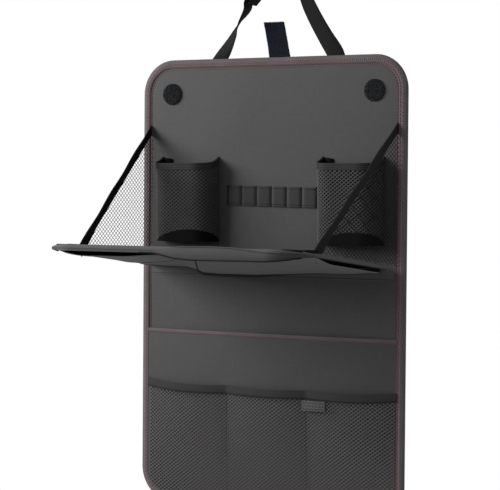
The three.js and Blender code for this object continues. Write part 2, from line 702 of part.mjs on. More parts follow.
// Webbing along a smooth path. Each point is [x, y, z, turn], the turn in degrees about the upright.
function ribbon(points, width, thick, steps) {
  const path = new THREE.CatmullRomCurve3(points.map(([x, y, z]) => new THREE.Vector3(x, y, z)), false, 'centripetal');
  const spans = points.length - 1;
  const turnAt = (t) => {
    const span = Math.min(Math.floor(t * spans), spans - 1);
    return THREE.MathUtils.degToRad(THREE.MathUtils.lerp(points[span][3], points[span + 1][3], t * spans - span));
  };
  const rings = [];
  for (let i = 0; i <= steps; i += 1) {
    const t = i / steps;
    const at = path.getPoint(t);
    const along = path.getTangent(t);
    const wide = new THREE.Vector3(Math.cos(turnAt(t)), Math.sin(turnAt(t)), 0);
    wide.addScaledVector(along, -wide.dot(along)).normalize();
    const deep = along.clone().cross(wide);
    rings.push([[-1, -1], [1, -1], [1, 1], [-1, 1]].map(([a, b]) => {
      return at.clone().addScaledVector(wide, (a * width) / 2).addScaledVector(deep, (b * thick) / 2);
    }));
  }
  return skin(rings, false);
}

// The ring lies across the left strap's end, which leans over to the right
const ringMiddle = new THREE.Vector3(WEBBING_WIDTH * -0.64, WEBBING_WIDTH * -0.76, panelTop + WEBBING_WIDTH * 3.44);
const ringLean = THREE.MathUtils.degToRad(40);
const ringAlong = new THREE.Vector3(Math.sin(ringLean), 0, Math.cos(ringLean));
const ringOut = new THREE.Vector3(Math.cos(ringLean), 0, -Math.sin(ringLean));
const ringTurn = -90;

// A point beside the ring: along the strap, and out to its right-hand face
function byRing(along, out) {
  const at = ringMiddle.clone().addScaledVector(ringAlong, along).addScaledVector(ringOut, out);
  return [at.x, at.y, at.z, ringTurn];
}

// The webbing's turn round a bar: out over one face of it and back along the other
function roundBar(barAt, away, start) {
  const radius = RING_BAR / 2 + GAP * 2 + WEBBING_THICK;
  return Array.from({ length: 5 }, (unused, i) => {
    const angle = start * (Math.PI / 2 - (Math.PI * i) / 4);
    return byRing(barAt + away * radius * Math.cos(angle), radius * Math.sin(angle));
  });
}

// A strap's free part. Each row is [across, forward, up, turn], in webbing widths from the strap's foot.
function hangingFrom(foot, rows) {
  return rows.map(([across, forward, up, turn]) => {
    return [foot + across * WEBBING_WIDTH, -forward * WEBBING_WIDTH, panelTop + up * WEBBING_WIDTH, turn];
  });
}

// The part of a strap in its slot, from its sewn end to just above the panel's edge
function inSlot(foot, spread, out) {
  return [
    [foot + spread, webbingDepth, panelTop - SLOT_DEPTH + 4, 0],
    [foot + spread * 0.55, webbingDepth, panelTop - 4, 0],
    [foot + out, webbingDepth, panelTop + 3, 0],
  ];
}

function buildStraps() {
  const bar = RING_BAR_SPACING / 2;
  const wrap = RING_BAR / 2 + GAP * 2 + WEBBING_THICK;
  const left = [
    ...inSlot(LEFT_STRAP_FOOT, -2.6, 0.2),
    ...hangingFrom(LEFT_STRAP_FOOT, [
      [0.48, 0.22, 1, -32],
      [1.48, 0.54, 1.92, -63],
      [1.96, 0.68, 2.64, -84],
    ]),
    byRing(-bar - 9, -wrap * 0.8),
    ...roundBar(-bar, 1, -1),
    byRing(-bar - 5, wrap),
    byRing(-bar - 10, wrap * 0.9),
  ];
  addTo(cover, 'left_strap', ribbon(left, WEBBING_WIDTH, WEBBING_THICK, 44), webbing);
  const right = [
    ...inSlot(RIGHT_STRAP_FOOT, 3.6, -0.6),
    ...hangingFrom(RIGHT_STRAP_FOOT, [
      [-0.56, 0.2, 0.96, -8],
      [-1.16, 0.3, 2, -14],
      [-1.68, 0.4, 3.08, -22],
      [-2.08, 0.58, 4.32, -52],
      [-2.36, 0.74, 5.52, -82],
      [-2.72, 0.76, 6.32, -90],
      [-3.32, 0.76, 6.52, -90],
      [-3.84, 0.76, 6, -90],
      [-3.96, 0.76, 4.88, -90],
    ]),
    byRing(bar + 9, -wrap * 0.8),
    ...roundBar(bar, -1, -1),
    byRing(bar + 8, wrap),
    byRing(bar + 17, wrap * 0.9),
  ];
  addTo(cover, 'right_strap', ribbon(right, WEBBING_WIDTH, WEBBING_THICK, 64), webbing);

  const outer = block(RING_WIDTH, RING_BAR, RING_BAR_SPACING + RING_BAR, 0, 0, 0);
  const window = block(RING_WIDTH - RING_BAR * 2, RING_BAR * 2, RING_BAR_SPACING - RING_BAR, 0, 0, 0);
  const ring = cut(closeUp(outer), [window]);
  ring.rotateZ(THREE.MathUtils.degToRad(ringTurn)).rotateY(ringLean);
  ring.translate(ringMiddle.x, ringMiddle.y, ringMiddle.z);
  addTo(cover, 'strap_ring', ring, plastic);

  const tab = sheet(1, 8, (u, v, side) => {
    const rise = v * (TAB_TALL + SLOT_DEPTH - 2) - (SLOT_DEPTH - 2);
    const lean = Math.max(0, rise / TAB_TALL);
    const x = TAB_FOOT + (u - 0.5) * TAB_WIDTH + TAB_LEAN * lean;
    const y = webbingDepth - 2.5 * lean * lean + (side - 0.5) * TAB_THICK;
    return new THREE.Vector3(x, y, panelTop + rise);
  });
  addTo(cover, 'centre_hook_tab', tab, fuzz);
}

// Hinge strip: up the panel's face, across the gap and under the tray's rear edge
function buildHingeTape() {
  const under = -(trayRim + GAP);
  const near = trayPoint(0, 3, under);
  const far = trayPoint(0, SLEEVE_REAR - 6, under);
  const face = sheetFront - GAP;
  const line = [
    [face, HINGE_HEIGHT - 18],
    [face, near.z - 4],
    [face - 2, near.z - 1.2],
    [face - 5, near.z - 0.3],
    [near.y, near.z],
    [far.y, far.z],
  ];
  const path = line.map(([y, z]) => new THREE.Vector2(y, z));
  const rows = path.map((point, i) => {
    const along = path[Math.min(i + 1, path.length - 1)].clone().sub(path[Math.max(i - 1, 0)]).normalize();
    return [point, new THREE.Vector2(along.y, -along.x)];
  });
  const hingeStrip = sheet(1, rows.length - 1, (u, v, side) => {
    const [point, normal] = rows[Math.round(v * (rows.length - 1))];
    const away = point.clone().addScaledVector(normal, -side * HINGE_TAPE_THICK);
    return new THREE.Vector3((u * 2 - 1) * HINGE_TAPE_HALF, away.x, away.y);
  });
  addTo(cover, 'hinge_tape', hingeStrip, dark);
}

// Tray

// The sheet slung under the tray: it gapes towards the front and sags in the middle
function sleeveDrop(x, reach) {
  const share = (reach - SLEEVE_REAR) / (SLEEVE_FRONT - SLEEVE_REAR);
  const gape = SLEEVE_GAPE * share * share;
  const fromEdge = (SLEEVE_SAG_HALF + SLEEVE_SAG_EDGE / 2 - Math.abs(x)) / SLEEVE_SAG_EDGE;
  const middle = THREE.MathUtils.smoothstep(fromEdge, 0, 1);
  const fore = THREE.MathUtils.smoothstep(reach, SLEEVE_REAR - 4, SLEEVE_REAR + 26);
  const rightSide = THREE.MathUtils.smoothstep(x, SLEEVE_HALF - SLEEVE_SIDE_WIDE, SLEEVE_HALF);
  const sideGap = SLEEVE_SIDE_GAP * rightSide * (1 - share) * THREE.MathUtils.smoothstep(share, 0, 0.12);
  return trayRim + SLEEVE_SEAT + gape + sideGap + SLEEVE_SAG * middle * fore;
}

function buildTray() {
  const coverLevels = (from, to) => [[trayPanelInset, from], [trayPanelInset, to]];
  const top = layer(trayOutline, coverLevels(trayBoardHalf + GAP, trayFace), onTray);
  addTo(tray, 'tray_top_cover', top, dark);
  addTo(tray, 'tray_board', layer(trayOutline, coverLevels(-trayBoardHalf, trayBoardHalf), onTray), board);
  const bottom = layer(trayOutline, coverLevels(-trayFace, -trayBoardHalf - GAP), onTray);
  addTo(tray, 'tray_bottom_cover', bottom, dark);
  const section = bindingSection(TRAY_BINDING_WIDTH, TRAY_BINDING_THICK, 1, trayRim, -trayRim);
  addTo(tray, 'tray_edge_binding', foldedEdge(trayOutline, section, onTray), tape);

  const sleeve = sheet(16, 7, (u, v, side) => {
    const x = (u * 2 - 1) * SLEEVE_HALF;
    const reach = THREE.MathUtils.lerp(SLEEVE_REAR + SLEEVE_HEM_LONG + GAP, SLEEVE_FRONT, v);
    return new THREE.Vector3(x, -reach, -sleeveDrop(x, reach) - side * SLEEVE_THICK);
  });
  addTo(tray, 'tray_sleeve', sleeve, dark);
  const hem = sheet(16, 1, (u, v, side) => {
    const x = (u * 2 - 1) * SLEEVE_HALF;
    const reach = THREE.MathUtils.lerp(SLEEVE_REAR, SLEEVE_REAR + SLEEVE_HEM_LONG, v);
    return new THREE.Vector3(x, -reach, -sleeveDrop(x, reach) - side * SLEEVE_HEM_THICK);
  });
  addTo(tray, 'tray_sleeve_hem', hem, tape);
  buildLip();
}

// The lip hangs under the tray's front rim from corner to corner and droops deepest right of the middle
function buildLip() {
  const front = -(TRAY_REAR_SETBACK + TRAY_LENGTH);
  const edge = new THREE.Path();
  const inner = TRAY_WIDTH / 2 - TRAY_FRONT_CORNER;
  const radius = TRAY_FRONT_CORNER - 1.5;
  edge.absarc(-inner, front + TRAY_FRONT_CORNER, radius, Math.PI, Math.PI * 1.5, false);
  edge.absarc(inner, front + TRAY_FRONT_CORNER, radius, Math.PI * 1.5, Math.PI * 2, false);
  const lip = sheet(LIP_STEPS, 2, (u, v, side) => {
    const at = edge.getPointAt(u);
    const along = edge.getTangentAt(u);
    const away = Math.abs(at.x - LIP_DROOP_MIDDLE) / LIP_DROOP_HALF;
    const droop = LIP_LEAST + LIP_DROOP * (1 - THREE.MathUtils.smoothstep(away, 0.25, 1));
    const out = (side - 0.5) * LIP_THICK;
    return new THREE.Vector3(at.x + along.y * out, at.y - along.x * out, -(trayRim + GAP) - droop * v);
  });
  addTo(tray, 'tray_front_lip', lip, dark);
}

buildPanel();
buildDots();
buildPenLoops();
buildCup('left', -CUP_MIDDLE);
buildCup('right', CUP_MIDDLE);
buildPockets();
buildGusset('left', -1);
buildGusset('right', 1);
buildFootTapes();
buildStraps();
buildHingeTape();
buildTray();

export default cover;
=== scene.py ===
# %% [markdown]
# # A seat-back cover with a fold-down tray
# The real object is cloth sewn round a thin board: a panel with a bound edge, a tray that folds down and
# hangs in two net gussets, cup pockets, pen loops, a flat pocket, a net pocket and hanging straps.
# The frame below brings in the measured solids. Each cloth piece is then made again as cloth, in its place.
# %% Load the frame
import math

import bmesh
import bpy
import numpy as np
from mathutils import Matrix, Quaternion, Vector


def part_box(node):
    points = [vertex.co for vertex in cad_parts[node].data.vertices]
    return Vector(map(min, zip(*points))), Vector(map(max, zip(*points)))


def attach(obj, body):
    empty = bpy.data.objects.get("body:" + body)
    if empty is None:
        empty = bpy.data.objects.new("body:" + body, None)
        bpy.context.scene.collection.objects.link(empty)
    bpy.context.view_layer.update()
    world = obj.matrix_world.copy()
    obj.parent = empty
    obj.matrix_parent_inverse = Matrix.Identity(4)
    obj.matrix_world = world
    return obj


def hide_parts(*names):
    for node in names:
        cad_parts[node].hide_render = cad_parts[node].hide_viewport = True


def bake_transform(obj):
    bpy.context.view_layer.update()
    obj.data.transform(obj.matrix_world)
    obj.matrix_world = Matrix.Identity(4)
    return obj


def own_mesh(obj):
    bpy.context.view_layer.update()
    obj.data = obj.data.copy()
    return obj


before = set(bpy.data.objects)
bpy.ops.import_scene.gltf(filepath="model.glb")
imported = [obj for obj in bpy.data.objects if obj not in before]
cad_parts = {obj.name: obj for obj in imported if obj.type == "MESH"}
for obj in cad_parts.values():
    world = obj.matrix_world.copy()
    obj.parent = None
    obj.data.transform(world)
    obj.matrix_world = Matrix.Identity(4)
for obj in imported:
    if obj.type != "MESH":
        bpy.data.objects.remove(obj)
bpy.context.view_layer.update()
MM = 0.001
BACK = "back"
TRAY = "tray"

# %% [markdown]
# ## The camera and the light
# The cover is seen from its right and a little from above, with a long lens, so its upright edges stay
# nearly parallel. The lens follows from the focal length in pixels of a frame 500 pixels wide. A white
# world gives the plain background, and one large soft lamp from the upper left makes the front shade off
# towards the right.
# %% Camera
FRAME_WIDTH_PX = 500
FOCAL_PX = 1781.5
SENSOR_MM = 36
CAMERA_TURN = 0.49
CAMERA_RISE = 0.0315
CAMERA_ROLL = 0.0077
CAMERA_DISTANCE = 2.4803
TARGET = Vector((-0.0305, -0.0065, 0.055))

away = Vector((
    math.sin(CAMERA_TURN) * math.cos(CAMERA_RISE),
    -math.cos(CAMERA_TURN) * math.cos(CAMERA_RISE),
    math.sin(CAMERA_RISE),
))
camera_data = bpy.data.cameras.new("camera")
camera_data.sensor_width = SENSOR_MM
camera_data.lens = FOCAL_PX * SENSOR_MM / FRAME_WIDTH_PX
camera_data.clip_end = 20
camera = bpy.data.objects.new("camera", camera_data)
bpy.context.collection.objects.link(camera)
camera.location = TARGET + away * CAMERA_DISTANCE
camera.rotation_mode = "QUATERNION"
camera.rotation_quaternion = Quaternion(-away, -CAMERA_ROLL) @ (-away).to_track_quat("-Z", "Y")
bpy.context.scene.camera = camera
print("lens", round(camera_data.lens, 1), "mm")

# %% Light
WORLD_STRENGTH = 0.31
LAMP_POWER = 68
LAMP_SIZE = 1.4
LAMP_PLACE = Vector((-2.1, -1.3, 0.95))

world = bpy.data.worlds.new("studio")
bpy.context.scene.world = world
world.use_nodes = True
sky = world.node_tree.nodes["Background"]
sky.inputs["Color"].default_value = (1, 1, 1, 1)
ray = world.node_tree.nodes.new("ShaderNodeLightPath")
bright = world.node_tree.nodes.new("ShaderNodeMapRange")
bright.inputs["To Min"].default_value = WORLD_STRENGTH
bright.inputs["To Max"].default_value = 1.0
world.node_tree.links.new(ray.outputs["Is Camera Ray"], bright.inputs["Value"])
world.node_tree.links.new(bright.outputs["Result"], sky.inputs["Strength"])
bpy.context.scene.view_settings.view_transform = "Standard"

lamp_data = bpy.data.lights.new("lamp", "AREA")
lamp_data.energy = LAMP_POWER
lamp_data.size = LAMP_SIZE
lamp = bpy.data.objects.new("lamp", lamp_data)
bpy.context.collection.objects.link(lamp)
lamp.location = LAMP_PLACE
lamp.rotation_mode = "QUATERNION"
lamp.rotation_quaternion = (TARGET - LAMP_PLACE).to_track_quat("-Z", "Y")
print("lamp", round((TARGET - LAMP_PLACE).length, 2), "m from the cover")

# %% [markdown]
# ## Shader maths as Python
# A finish is easier to read as a sum than as a web of nodes. This class holds one output socket of a node
# tree, and each operator on it adds the Math node that does that sum.
# %% The socket class


class Signal:
    """One output socket, with arithmetic that adds nodes."""

    def __init__(self, tree, socket):
        self.tree = tree
        self.socket = socket

    def node(self, kind, settings=None, **values):
        """Adds a node of this kind. Settings go first, then values or links into its named sockets."""
        node = self.tree.nodes.new(kind)
        for name, value in (settings or {}).items():
            setattr(node, name, value)
        for name, value in values.items():
            wanted = name.replace("_", " ").lower()
            for socket in node.inputs:
                if socket.enabled and socket.name.lower() == wanted:
                    join(self.tree, value, socket)
                    break
            else:
                raise KeyError(f"{kind} has no socket {name}")
        return node

    def maths(self, operation, *others):
        node = self.tree.nodes.new("ShaderNodeMath")
        node.operation = operation
        for socket, value in zip(node.inputs, (self, *others)):
            join(self.tree, value, socket)
        return Signal(self.tree, node.outputs[0])

    def __add__(self, other):
        return self.maths("ADD", other)

    def __radd__(self, other):
        return self.maths("ADD", other)

    def __sub__(self, other):
        return self.maths("SUBTRACT", other)

    def __rsub__(self, other):
        return (self * -1).maths("ADD", other)

    def __mul__(self, other):
        return self.maths("MULTIPLY", other)

    def __rmul__(self, other):
        return self.maths("MULTIPLY", other)

    def sine(self):
        return self.maths("SINE")

    def clamp(self):
        """The signal kept between 0 and 1."""
        return self.maths("MAXIMUM", 0.0).maths("MINIMUM", 1.0)


print("a signal can", [name for name in vars(Signal) if not name.startswith("_")])

# %% [markdown]
# ## Links, mixes and colours
# A number is written into a socket, and a signal is linked to it, so one helper does whichever is meant.
# Two colours are mixed by a node of their own, because a Math node would turn them grey. Each finish is
# chosen as the colour that a screen shows, and turned into the linear numbers that a shader works in.
# %% Joining and mixing


def join(tree, value, socket):
    if isinstance(value, Signal):
        tree.links.new(value.socket, socket)
    else:
        socket.default_value = value


def mixed(share, first, second):
    """A colour between two colours."""
    node = share.tree.nodes.new("ShaderNodeMix")
    node.data_type = "RGBA"
    join(share.tree, share, node.inputs["Factor"])
    for name, value in (("A", first), ("B", second)):
        socket = [s for s in node.inputs if s.name == name and s.type == "RGBA"][0]
        join(share.tree, value, socket)
    return Signal(share.tree, [s for s in node.outputs if s.type == "RGBA"][0])


def colour(red, green, blue):
    """A colour from its three display values, 0 to 255, as the linear numbers that a shader takes."""
    straight = [c / 255 for c in (red, green, blue)]
    return tuple(c / 12.92 if c <= 0.04045 else ((c + 0.055) / 1.055) ** 2.4 for c in straight) + (1,)


print("middle grey is", round(colour(128, 128, 128)[0], 3), "to a shader")

# %% [markdown]
# ## One class for every finish
# Each finish could be a tree built node by node. Nearly all of them share the same parts: a place on the
# piece, some noise, a colour between two colours, and bumps. The class keeps those parts, so that a finish
# is a few lines. Cloth shines far less than the plastic that a new shader starts as, so its shine is low.
# %% The finish class
CLOTH_SHINE = 0.15


class Finish:
    """A material with one Principled shader, and the places on the piece to work from."""

    def __init__(self, name, roughness):
        self.material = bpy.data.materials.new(name)
        self.material.use_nodes = True
        self.tree = self.material.node_tree
        self.shader = self.tree.nodes["Principled BSDF"]
        self.shader.inputs["Roughness"].default_value = roughness
        self.shader.inputs["Specular IOR Level"].default_value = CLOTH_SHINE
        place = self.tree.nodes.new("ShaderNodeTexCoord")
        self.spot = Signal(self.tree, place.outputs["Object"])
        self.cloth = Signal(self.tree, place.outputs["UV"])

    def axes(self, vector):
        node = vector.node("ShaderNodeSeparateXYZ", Vector=vector)
        return [Signal(self.tree, out) for out in node.outputs]

    def noise(self, vector, scale, detail):
        node = vector.node("ShaderNodeTexNoise", Vector=vector, Scale=scale, Detail=detail)
        return Signal(self.tree, node.outputs["Fac"])

    def stretched(self, scales):
        """The place on the piece, with its own scale along each axis."""
        node = self.spot.node("ShaderNodeVectorMath", {"operation": "MULTIPLY"})
        self.tree.links.new(self.spot.socket, node.inputs[0])
        node.inputs[1].default_value = scales
        return Signal(self.tree, node.outputs[0])

    def cells(self, vector, scale):
        node = vector.node("ShaderNodeTexVoronoi", {"feature": "F1"}, Vector=vector, Scale=scale)
        return Signal(self.tree, node.outputs["Distance"])

    def paint(self, value):
        join(self.tree, value, self.shader.inputs["Base Color"])

    def relief(self, height, depth, strength):
        """Bumps of a height signal from 0 to 1, with their real depth in metres."""
        node = height.node("ShaderNodeBump", Height=height, Distance=depth, Strength=strength)
        self.tree.links.new(node.outputs["Normal"], self.shader.inputs["Normal"])


print("a finish has", [name for name in vars(Finish) if not name.startswith("_")])

# %% [markdown]
# ## Leatherette
# The panel and the tray are faced with a thin plastic leather. It has a fine pebble grain, short pressed
# streaks both ways, and broad soft patches where the board behind it shows. A picture of the grain would
# repeat and blur close up, so noise at four sizes is mixed instead.
# %% Leatherette
LEATHER_ROUGHNESS = 0.56
LEATHER_SHINE = 0.35
LEATHER_DEEP = 0.00014
PATCH_SCALE = 7
PEBBLE_SCALE = 1400
STREAK_LONG = 90
STREAK_FINE = 1100


def leatherette(name, light, dark):
    """A pebble grain over broad soft patches, with short streaks both ways like pressed linen."""
    finish = Finish(name, LEATHER_ROUGHNESS)
    patches = finish.noise(finish.spot, PATCH_SCALE, 2)
    level = finish.noise(finish.stretched((STREAK_LONG, STREAK_LONG, STREAK_FINE)), 1, 2)
    upright = finish.noise(finish.stretched((STREAK_FINE, STREAK_FINE, STREAK_LONG)), 1, 2)
    streaks = level * 0.5 + upright * 0.5
    finish.paint(mixed((patches * 0.6 + (streaks - 0.5) * 1.3 + 0.2).clamp(), dark, light))
    pebbles = finish.cells(finish.spot, PEBBLE_SCALE)
    finish.relief(pebbles * 0.4 + streaks * 0.6, LEATHER_DEEP, 0.5)
    finish.shader.inputs["Specular IOR Level"].default_value = LEATHER_SHINE
    return finish.material


panel_leather = leatherette("panel leatherette", colour(86, 86, 86), colour(70, 69, 69))
pocket_leather = leatherette("pocket leatherette", colour(84, 83, 83), colour(68, 67, 67))
pen_leather = leatherette("pen band cloth", colour(51, 49, 49), colour(41, 39, 39))
tray_leather = leatherette("tray leatherette", colour(96, 95, 95), colour(78, 77, 77))
# The slung sheet under the tray is leatherette like the rest, made much lighter as painted light, because its underside
# gets little light.
sleeve_leather_painted_light = leatherette("sleeve leatherette with painted light", colour(134, 132, 132), colour(110, 108, 108))
# The lip is the tray's leatherette made darker, as painted shade on the lip's face.
lip_leather_painted_shade = leatherette("lip leatherette with painted shade", colour(75, 73, 73), colour(60, 58, 58))
print(len(bpy.data.materials), "finishes so far")

# %% [markdown]
# ## Woven tape and webbing
# Binding, straps and elastic are woven narrow, with ribs along their length and a finer weft across. The
# ribs have to bend with the tape, so the pattern reads the piece's own UV map, which is laid out in
# metres, and two sine waves make warp and weft. A noise in space would cut straight through every bend.
# %% Woven tape
WEAVE_DEEP = 0.00025


def woven(name, light, dark, rib, across, roughness):
    """Cloth with ribs along its length and a finer weft across, both from the UV map in metres."""
    finish = Finish(name, roughness)
    along, side = finish.axes(finish.cloth)[:2]
    warp = (side * (2 * math.pi / rib)).sine() * 0.5 + 0.5
    weft = (along * (2 * math.pi / across) + (side * (math.pi / rib)).sine() * 1.6).sine() * 0.5 + 0.5
    thread = warp * 0.5 + weft * 0.5
    patches = finish.noise(finish.spot, 40, 3)
    finish.paint(mixed((thread * 0.6 + patches * 0.5 - 0.05).clamp(), dark, light))
    finish.relief(thread, WEAVE_DEEP, 0.7)
    return finish.material


edge_tape = woven("edge tape", colour(124, 119, 120), colour(84, 80, 81), 0.0026, 0.0022, 0.7)
tray_tape = woven("tray edge tape", colour(112, 110, 111), colour(88, 86, 87), 0.0026, 0.0022, 0.6)
strap_webbing = woven("strap webbing", colour(36, 36, 37), colour(14, 14, 15), 0.0021, 0.0016, 0.75)
gusset_webbing = woven("gusset tape", colour(32, 32, 32), colour(18, 18, 18), 0.0016, 0.0012, 0.8)
# The right gusset's tape is the same tape as the left's, made lighter as a painted sheen.
sheen_painted_webbing = woven("gusset tape with painted sheen", colour(52, 51, 52), colour(32, 31, 32), 0.0016, 0.0012, 0.8)
elastic = woven("cup elastic", colour(78, 76, 77), colour(26, 25, 26), 0.0034, 0.0012, 0.7)
net_hem_cloth = woven("net hem cloth", colour(72, 71, 72), colour(50, 49, 50), 0.0020, 0.0012, 0.75)
tab_cloth = woven("net tab cloth", colour(120, 120, 120), colour(48, 48, 48), 0.0042, 0.0046, 0.8)
print(len(bpy.data.materials), "finishes so far")

# %% [markdown]
# ## Thread, net and the small finishes
# Threads, pile, lining, board and the ring are too fine or too plain for a weave that can be seen. One noise
# between two near colours, with a shallow bump, is enough for each, at its own scale.
# %% Thread, net and the small finishes


def plain(name, light, dark, scale, roughness, deep):
    finish = Finish(name, roughness)
    grain = finish.noise(finish.spot, scale, 4)
    finish.paint(mixed(grain, dark, light))
    finish.relief(grain, deep, 0.8)
    return finish.material


red_thread = plain("red thread", colour(176, 92, 106), colour(132, 62, 74), 900, 0.6, 0.0001)
pale_thread = plain("pale thread", colour(196, 158, 166), colour(150, 112, 120), 900, 0.6, 0.0001)
dark_thread = plain("dark thread", colour(42, 40, 40), colour(28, 27, 27), 900, 0.6, 0.0001)
net_thread = plain("net thread", colour(137, 135, 136), colour(94, 92, 93), 700, 0.6, 0.0001)
cup_thread = plain("cup net thread", colour(122, 120, 121), colour(82, 80, 81), 700, 0.6, 0.0001)
gusset_thread = plain("gusset net thread", colour(38, 37, 38), colour(24, 24, 25), 700, 0.6, 0.0001)
fuzz = plain("fuzzy loops", colour(74, 76, 77), colour(38, 39, 41), 500, 0.95, 0.0006)
tab_fuzz = plain("dark blue-black pile", colour(44, 47, 60), colour(22, 24, 34), 600, 0.95, 0.0005)
black_cloth = plain("black cloth", colour(13, 12, 13), colour(5, 5, 5), 600, 0.85, 0.0003)
# The cup's dark inner mesh is also painted shade inside the cup.
cup_mesh_and_shade = plain("cup mesh lining with painted shade", colour(78, 76, 77), colour(46, 45, 46), 300, 0.9, 0.0004)
lining_cloth = plain("lining cloth", colour(54, 54, 55), colour(36, 36, 37), 350, 0.9, 0.0004)
board_fibre = plain("board", colour(150, 143, 130), colour(120, 114, 102), 200, 0.8, 0.0002)
ring_plastic = plain("ring plastic", colour(22, 22, 22), colour(14, 14, 14), 400, 0.42, 0.00005)
print(len(bpy.data.materials), "finishes in all")

# %% [markdown]
# ## Cloth as closed sheets
# Every cloth piece is one sheet that follows a rule: two shares, across and down, give a point on each of
# its faces. The helper turns that rule into a closed mesh with a UV map in metres, so that weaves keep
# their real size. Creased places stay sharp, and the rest is shaded smooth.
# %% A closed mesh
SHARP = math.radians(50)


def made(name, points, faces, uvs, material):
    """An object from points in millimetres, with a UV pair in metres for each point."""
    mesh = bpy.data.meshes.new(name)
    mesh.from_pydata([tuple(float(c) * MM for c in p) for p in points], [], faces)
    layer = mesh.uv_layers.new(name="cloth")
    for loop in mesh.loops:
        layer.data[loop.index].uv = uvs[loop.vertex_index]
    work = bmesh.new()
    work.from_mesh(mesh)
    bmesh.ops.recalc_face_normals(work, faces=work.faces)
    work.to_mesh(mesh)
    work.free()
    mesh.polygons.foreach_set("use_smooth", [True] * len(mesh.polygons))
    mesh.set_sharp_from_angle(angle=SHARP)
    mesh.materials.append(material)
    obj = bpy.data.objects.new(name, mesh)
    bpy.context.collection.objects.link(obj)
    return obj


print("creases over", round(math.degrees(SHARP)), "degrees stay sharp")

# %% A sheet from a rule


def sheet(name, columns, rows, place, size, material):
    """A closed sheet. place(u, v, side) takes arrays of shares and gives x, y and z in millimetres."""
    u, v = np.meshgrid(np.linspace(0, 1, columns + 1), np.linspace(0, 1, rows + 1))
    u, v = u.ravel(), v.ravel()
    sides = [np.stack(np.broadcast_arrays(*place(u, v, side), u)[:3], axis=1) for side in (0, 1)]
    count = len(u)
    faces = []

    def at(i, j, side):
        return side * count + j * (columns + 1) + i

    for j in range(rows):
        for i in range(columns):
            ring = [(i, j), (i + 1, j), (i + 1, j + 1), (i, j + 1)]
            faces.append([at(a, b, 0) for a, b in ring])
            faces.append([at(a, b, 1) for a, b in reversed(ring)])
    for i in range(columns):
        faces.append([at(i, 0, 0), at(i, 0, 1), at(i + 1, 0, 1), at(i + 1, 0, 0)])
        faces.append([at(i, rows, 0), at(i + 1, rows, 0), at(i + 1, rows, 1), at(i, rows, 1)])
    for j in range(rows):
        faces.append([at(0, j, 0), at(0, j + 1, 0), at(0, j + 1, 1), at(0, j, 1)])
        faces.append([at(columns, j, 0), at(columns, j, 1), at(columns, j + 1, 1), at(columns, j + 1, 0)])
    uvs = [(a * size[0], b * size[1]) for a, b in zip(u, v)] * 2
    return made(name, np.concatenate(sides), faces, uvs, material)


# %% [markdown]
# ## Sweeps, and where a piece belongs
# A binding or a ribbon keeps one section along its whole way, so it is a skin through rings of points. Each finished
# piece then says which body it moves with and which solids of the frame it stands for, so that those solids are no
# longer shown.
# %% Sweeps and places


def swept(name, rings, is_loop, along, around, material):
    """A skin through rings of points, with its UV along the sweep and round the section, in metres."""
    rings = np.asarray(rings, float)
    count, size = rings.shape[:2]
    faces = []
    for r in range(count if is_loop else count - 1):
        here, there = r * size, ((r + 1) % count) * size
        for i in range(size):
            j = (i + 1) % size
            faces.append([here + i, here + j, there + j, there + i])
    if not is_loop:
        faces.append(list(range(size)))
        faces.append([(count - 1) * size + i for i in reversed(range(size))])
    uvs = [(along * r / count, around * i / size) for r in range(count) for i in range(size)]
    return made(name, rings.reshape(-1, 3), faces, uvs, material)


def put(piece, body, slot, *nodes):
    """Gives a finished piece its body and the solids that it stands for. The slot is not used."""
    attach(piece, body)
    if nodes:
        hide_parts(*nodes)
    print(piece.name, "on", body, len(piece.data.polygons), "faces")
    return piece


def painted(node, material):
    """A solid of the frame that stays in view inside the cloth gets its finish."""
    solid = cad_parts[node]
    solid.data.materials.clear()
    solid.data.materials.append(material)
    print(node, "is finished in", material.name)


for board in ("stiffener_board", "tray_board"):
    painted(board, board_fibre)

# %% [markdown]
# ## Geometry Nodes from a script
# Stitches, net and pile are each one small shape repeated hundreds of times. Loops in Python could place
# them, but a node tree shows its sizes as named inputs and can be tried out by hand in Blender. The helpers
# make a tree, add a node to it, and turn its result into a plain mesh.
# %% Tree helpers


def new_tree(name, inputs):
    tree = bpy.data.node_groups.new(name, "GeometryNodeTree")
    tree.interface.new_socket("Geometry", in_out="INPUT", socket_type="NodeSocketGeometry")
    tree.interface.new_socket("Geometry", in_out="OUTPUT", socket_type="NodeSocketGeometry")
    for label, kind, value in inputs:
        socket = tree.interface.new_socket(label, in_out="INPUT", socket_type=kind)
        if value is not None:
            socket.default_value = value
    start = tree.nodes.new("NodeGroupInput")
    end = tree.nodes.new("NodeGroupOutput")
    return tree, start, end


def step(tree, kind, settings=None, **values):
    """Adds a node, sets it, and fills or links its inputs by name."""
    node = tree.nodes.new(kind)
    for name, value in (settings or {}).items():
        setattr(node, name, value)
    for name, value in values.items():
        wanted = name.replace("_", " ").lower()
        socket = [s for s in node.inputs if s.enabled and s.name.lower() == wanted][0]
        if isinstance(value, bpy.types.NodeSocket):
            tree.links.new(value, socket)
        else:
            socket.default_value = value
    return node


def grown(obj, tree, **sizes):
    """Runs the tree on the object and gives back a plain mesh object."""
    modifier = obj.modifiers.new(tree.name, "NODES")
    modifier.node_group = tree
    known = {s.name: s.identifier for s in tree.interface.items_tree if s.in_out == "INPUT"}
    for label, value in sizes.items():
        modifier[known[label.replace("_", " ")]] = value
    bpy.context.view_layer.update()
    graph = bpy.context.evaluated_depsgraph_get()
    mesh = bpy.data.meshes.new_from_object(obj.evaluated_get(graph))
    name = obj.name
    bpy.data.objects.remove(obj)
    result = bpy.data.objects.new(name, mesh)
    bpy.context.collection.objects.link(result)
    mesh.polygons.foreach_set("use_smooth", [True] * len(mesh.polygons))
    return result


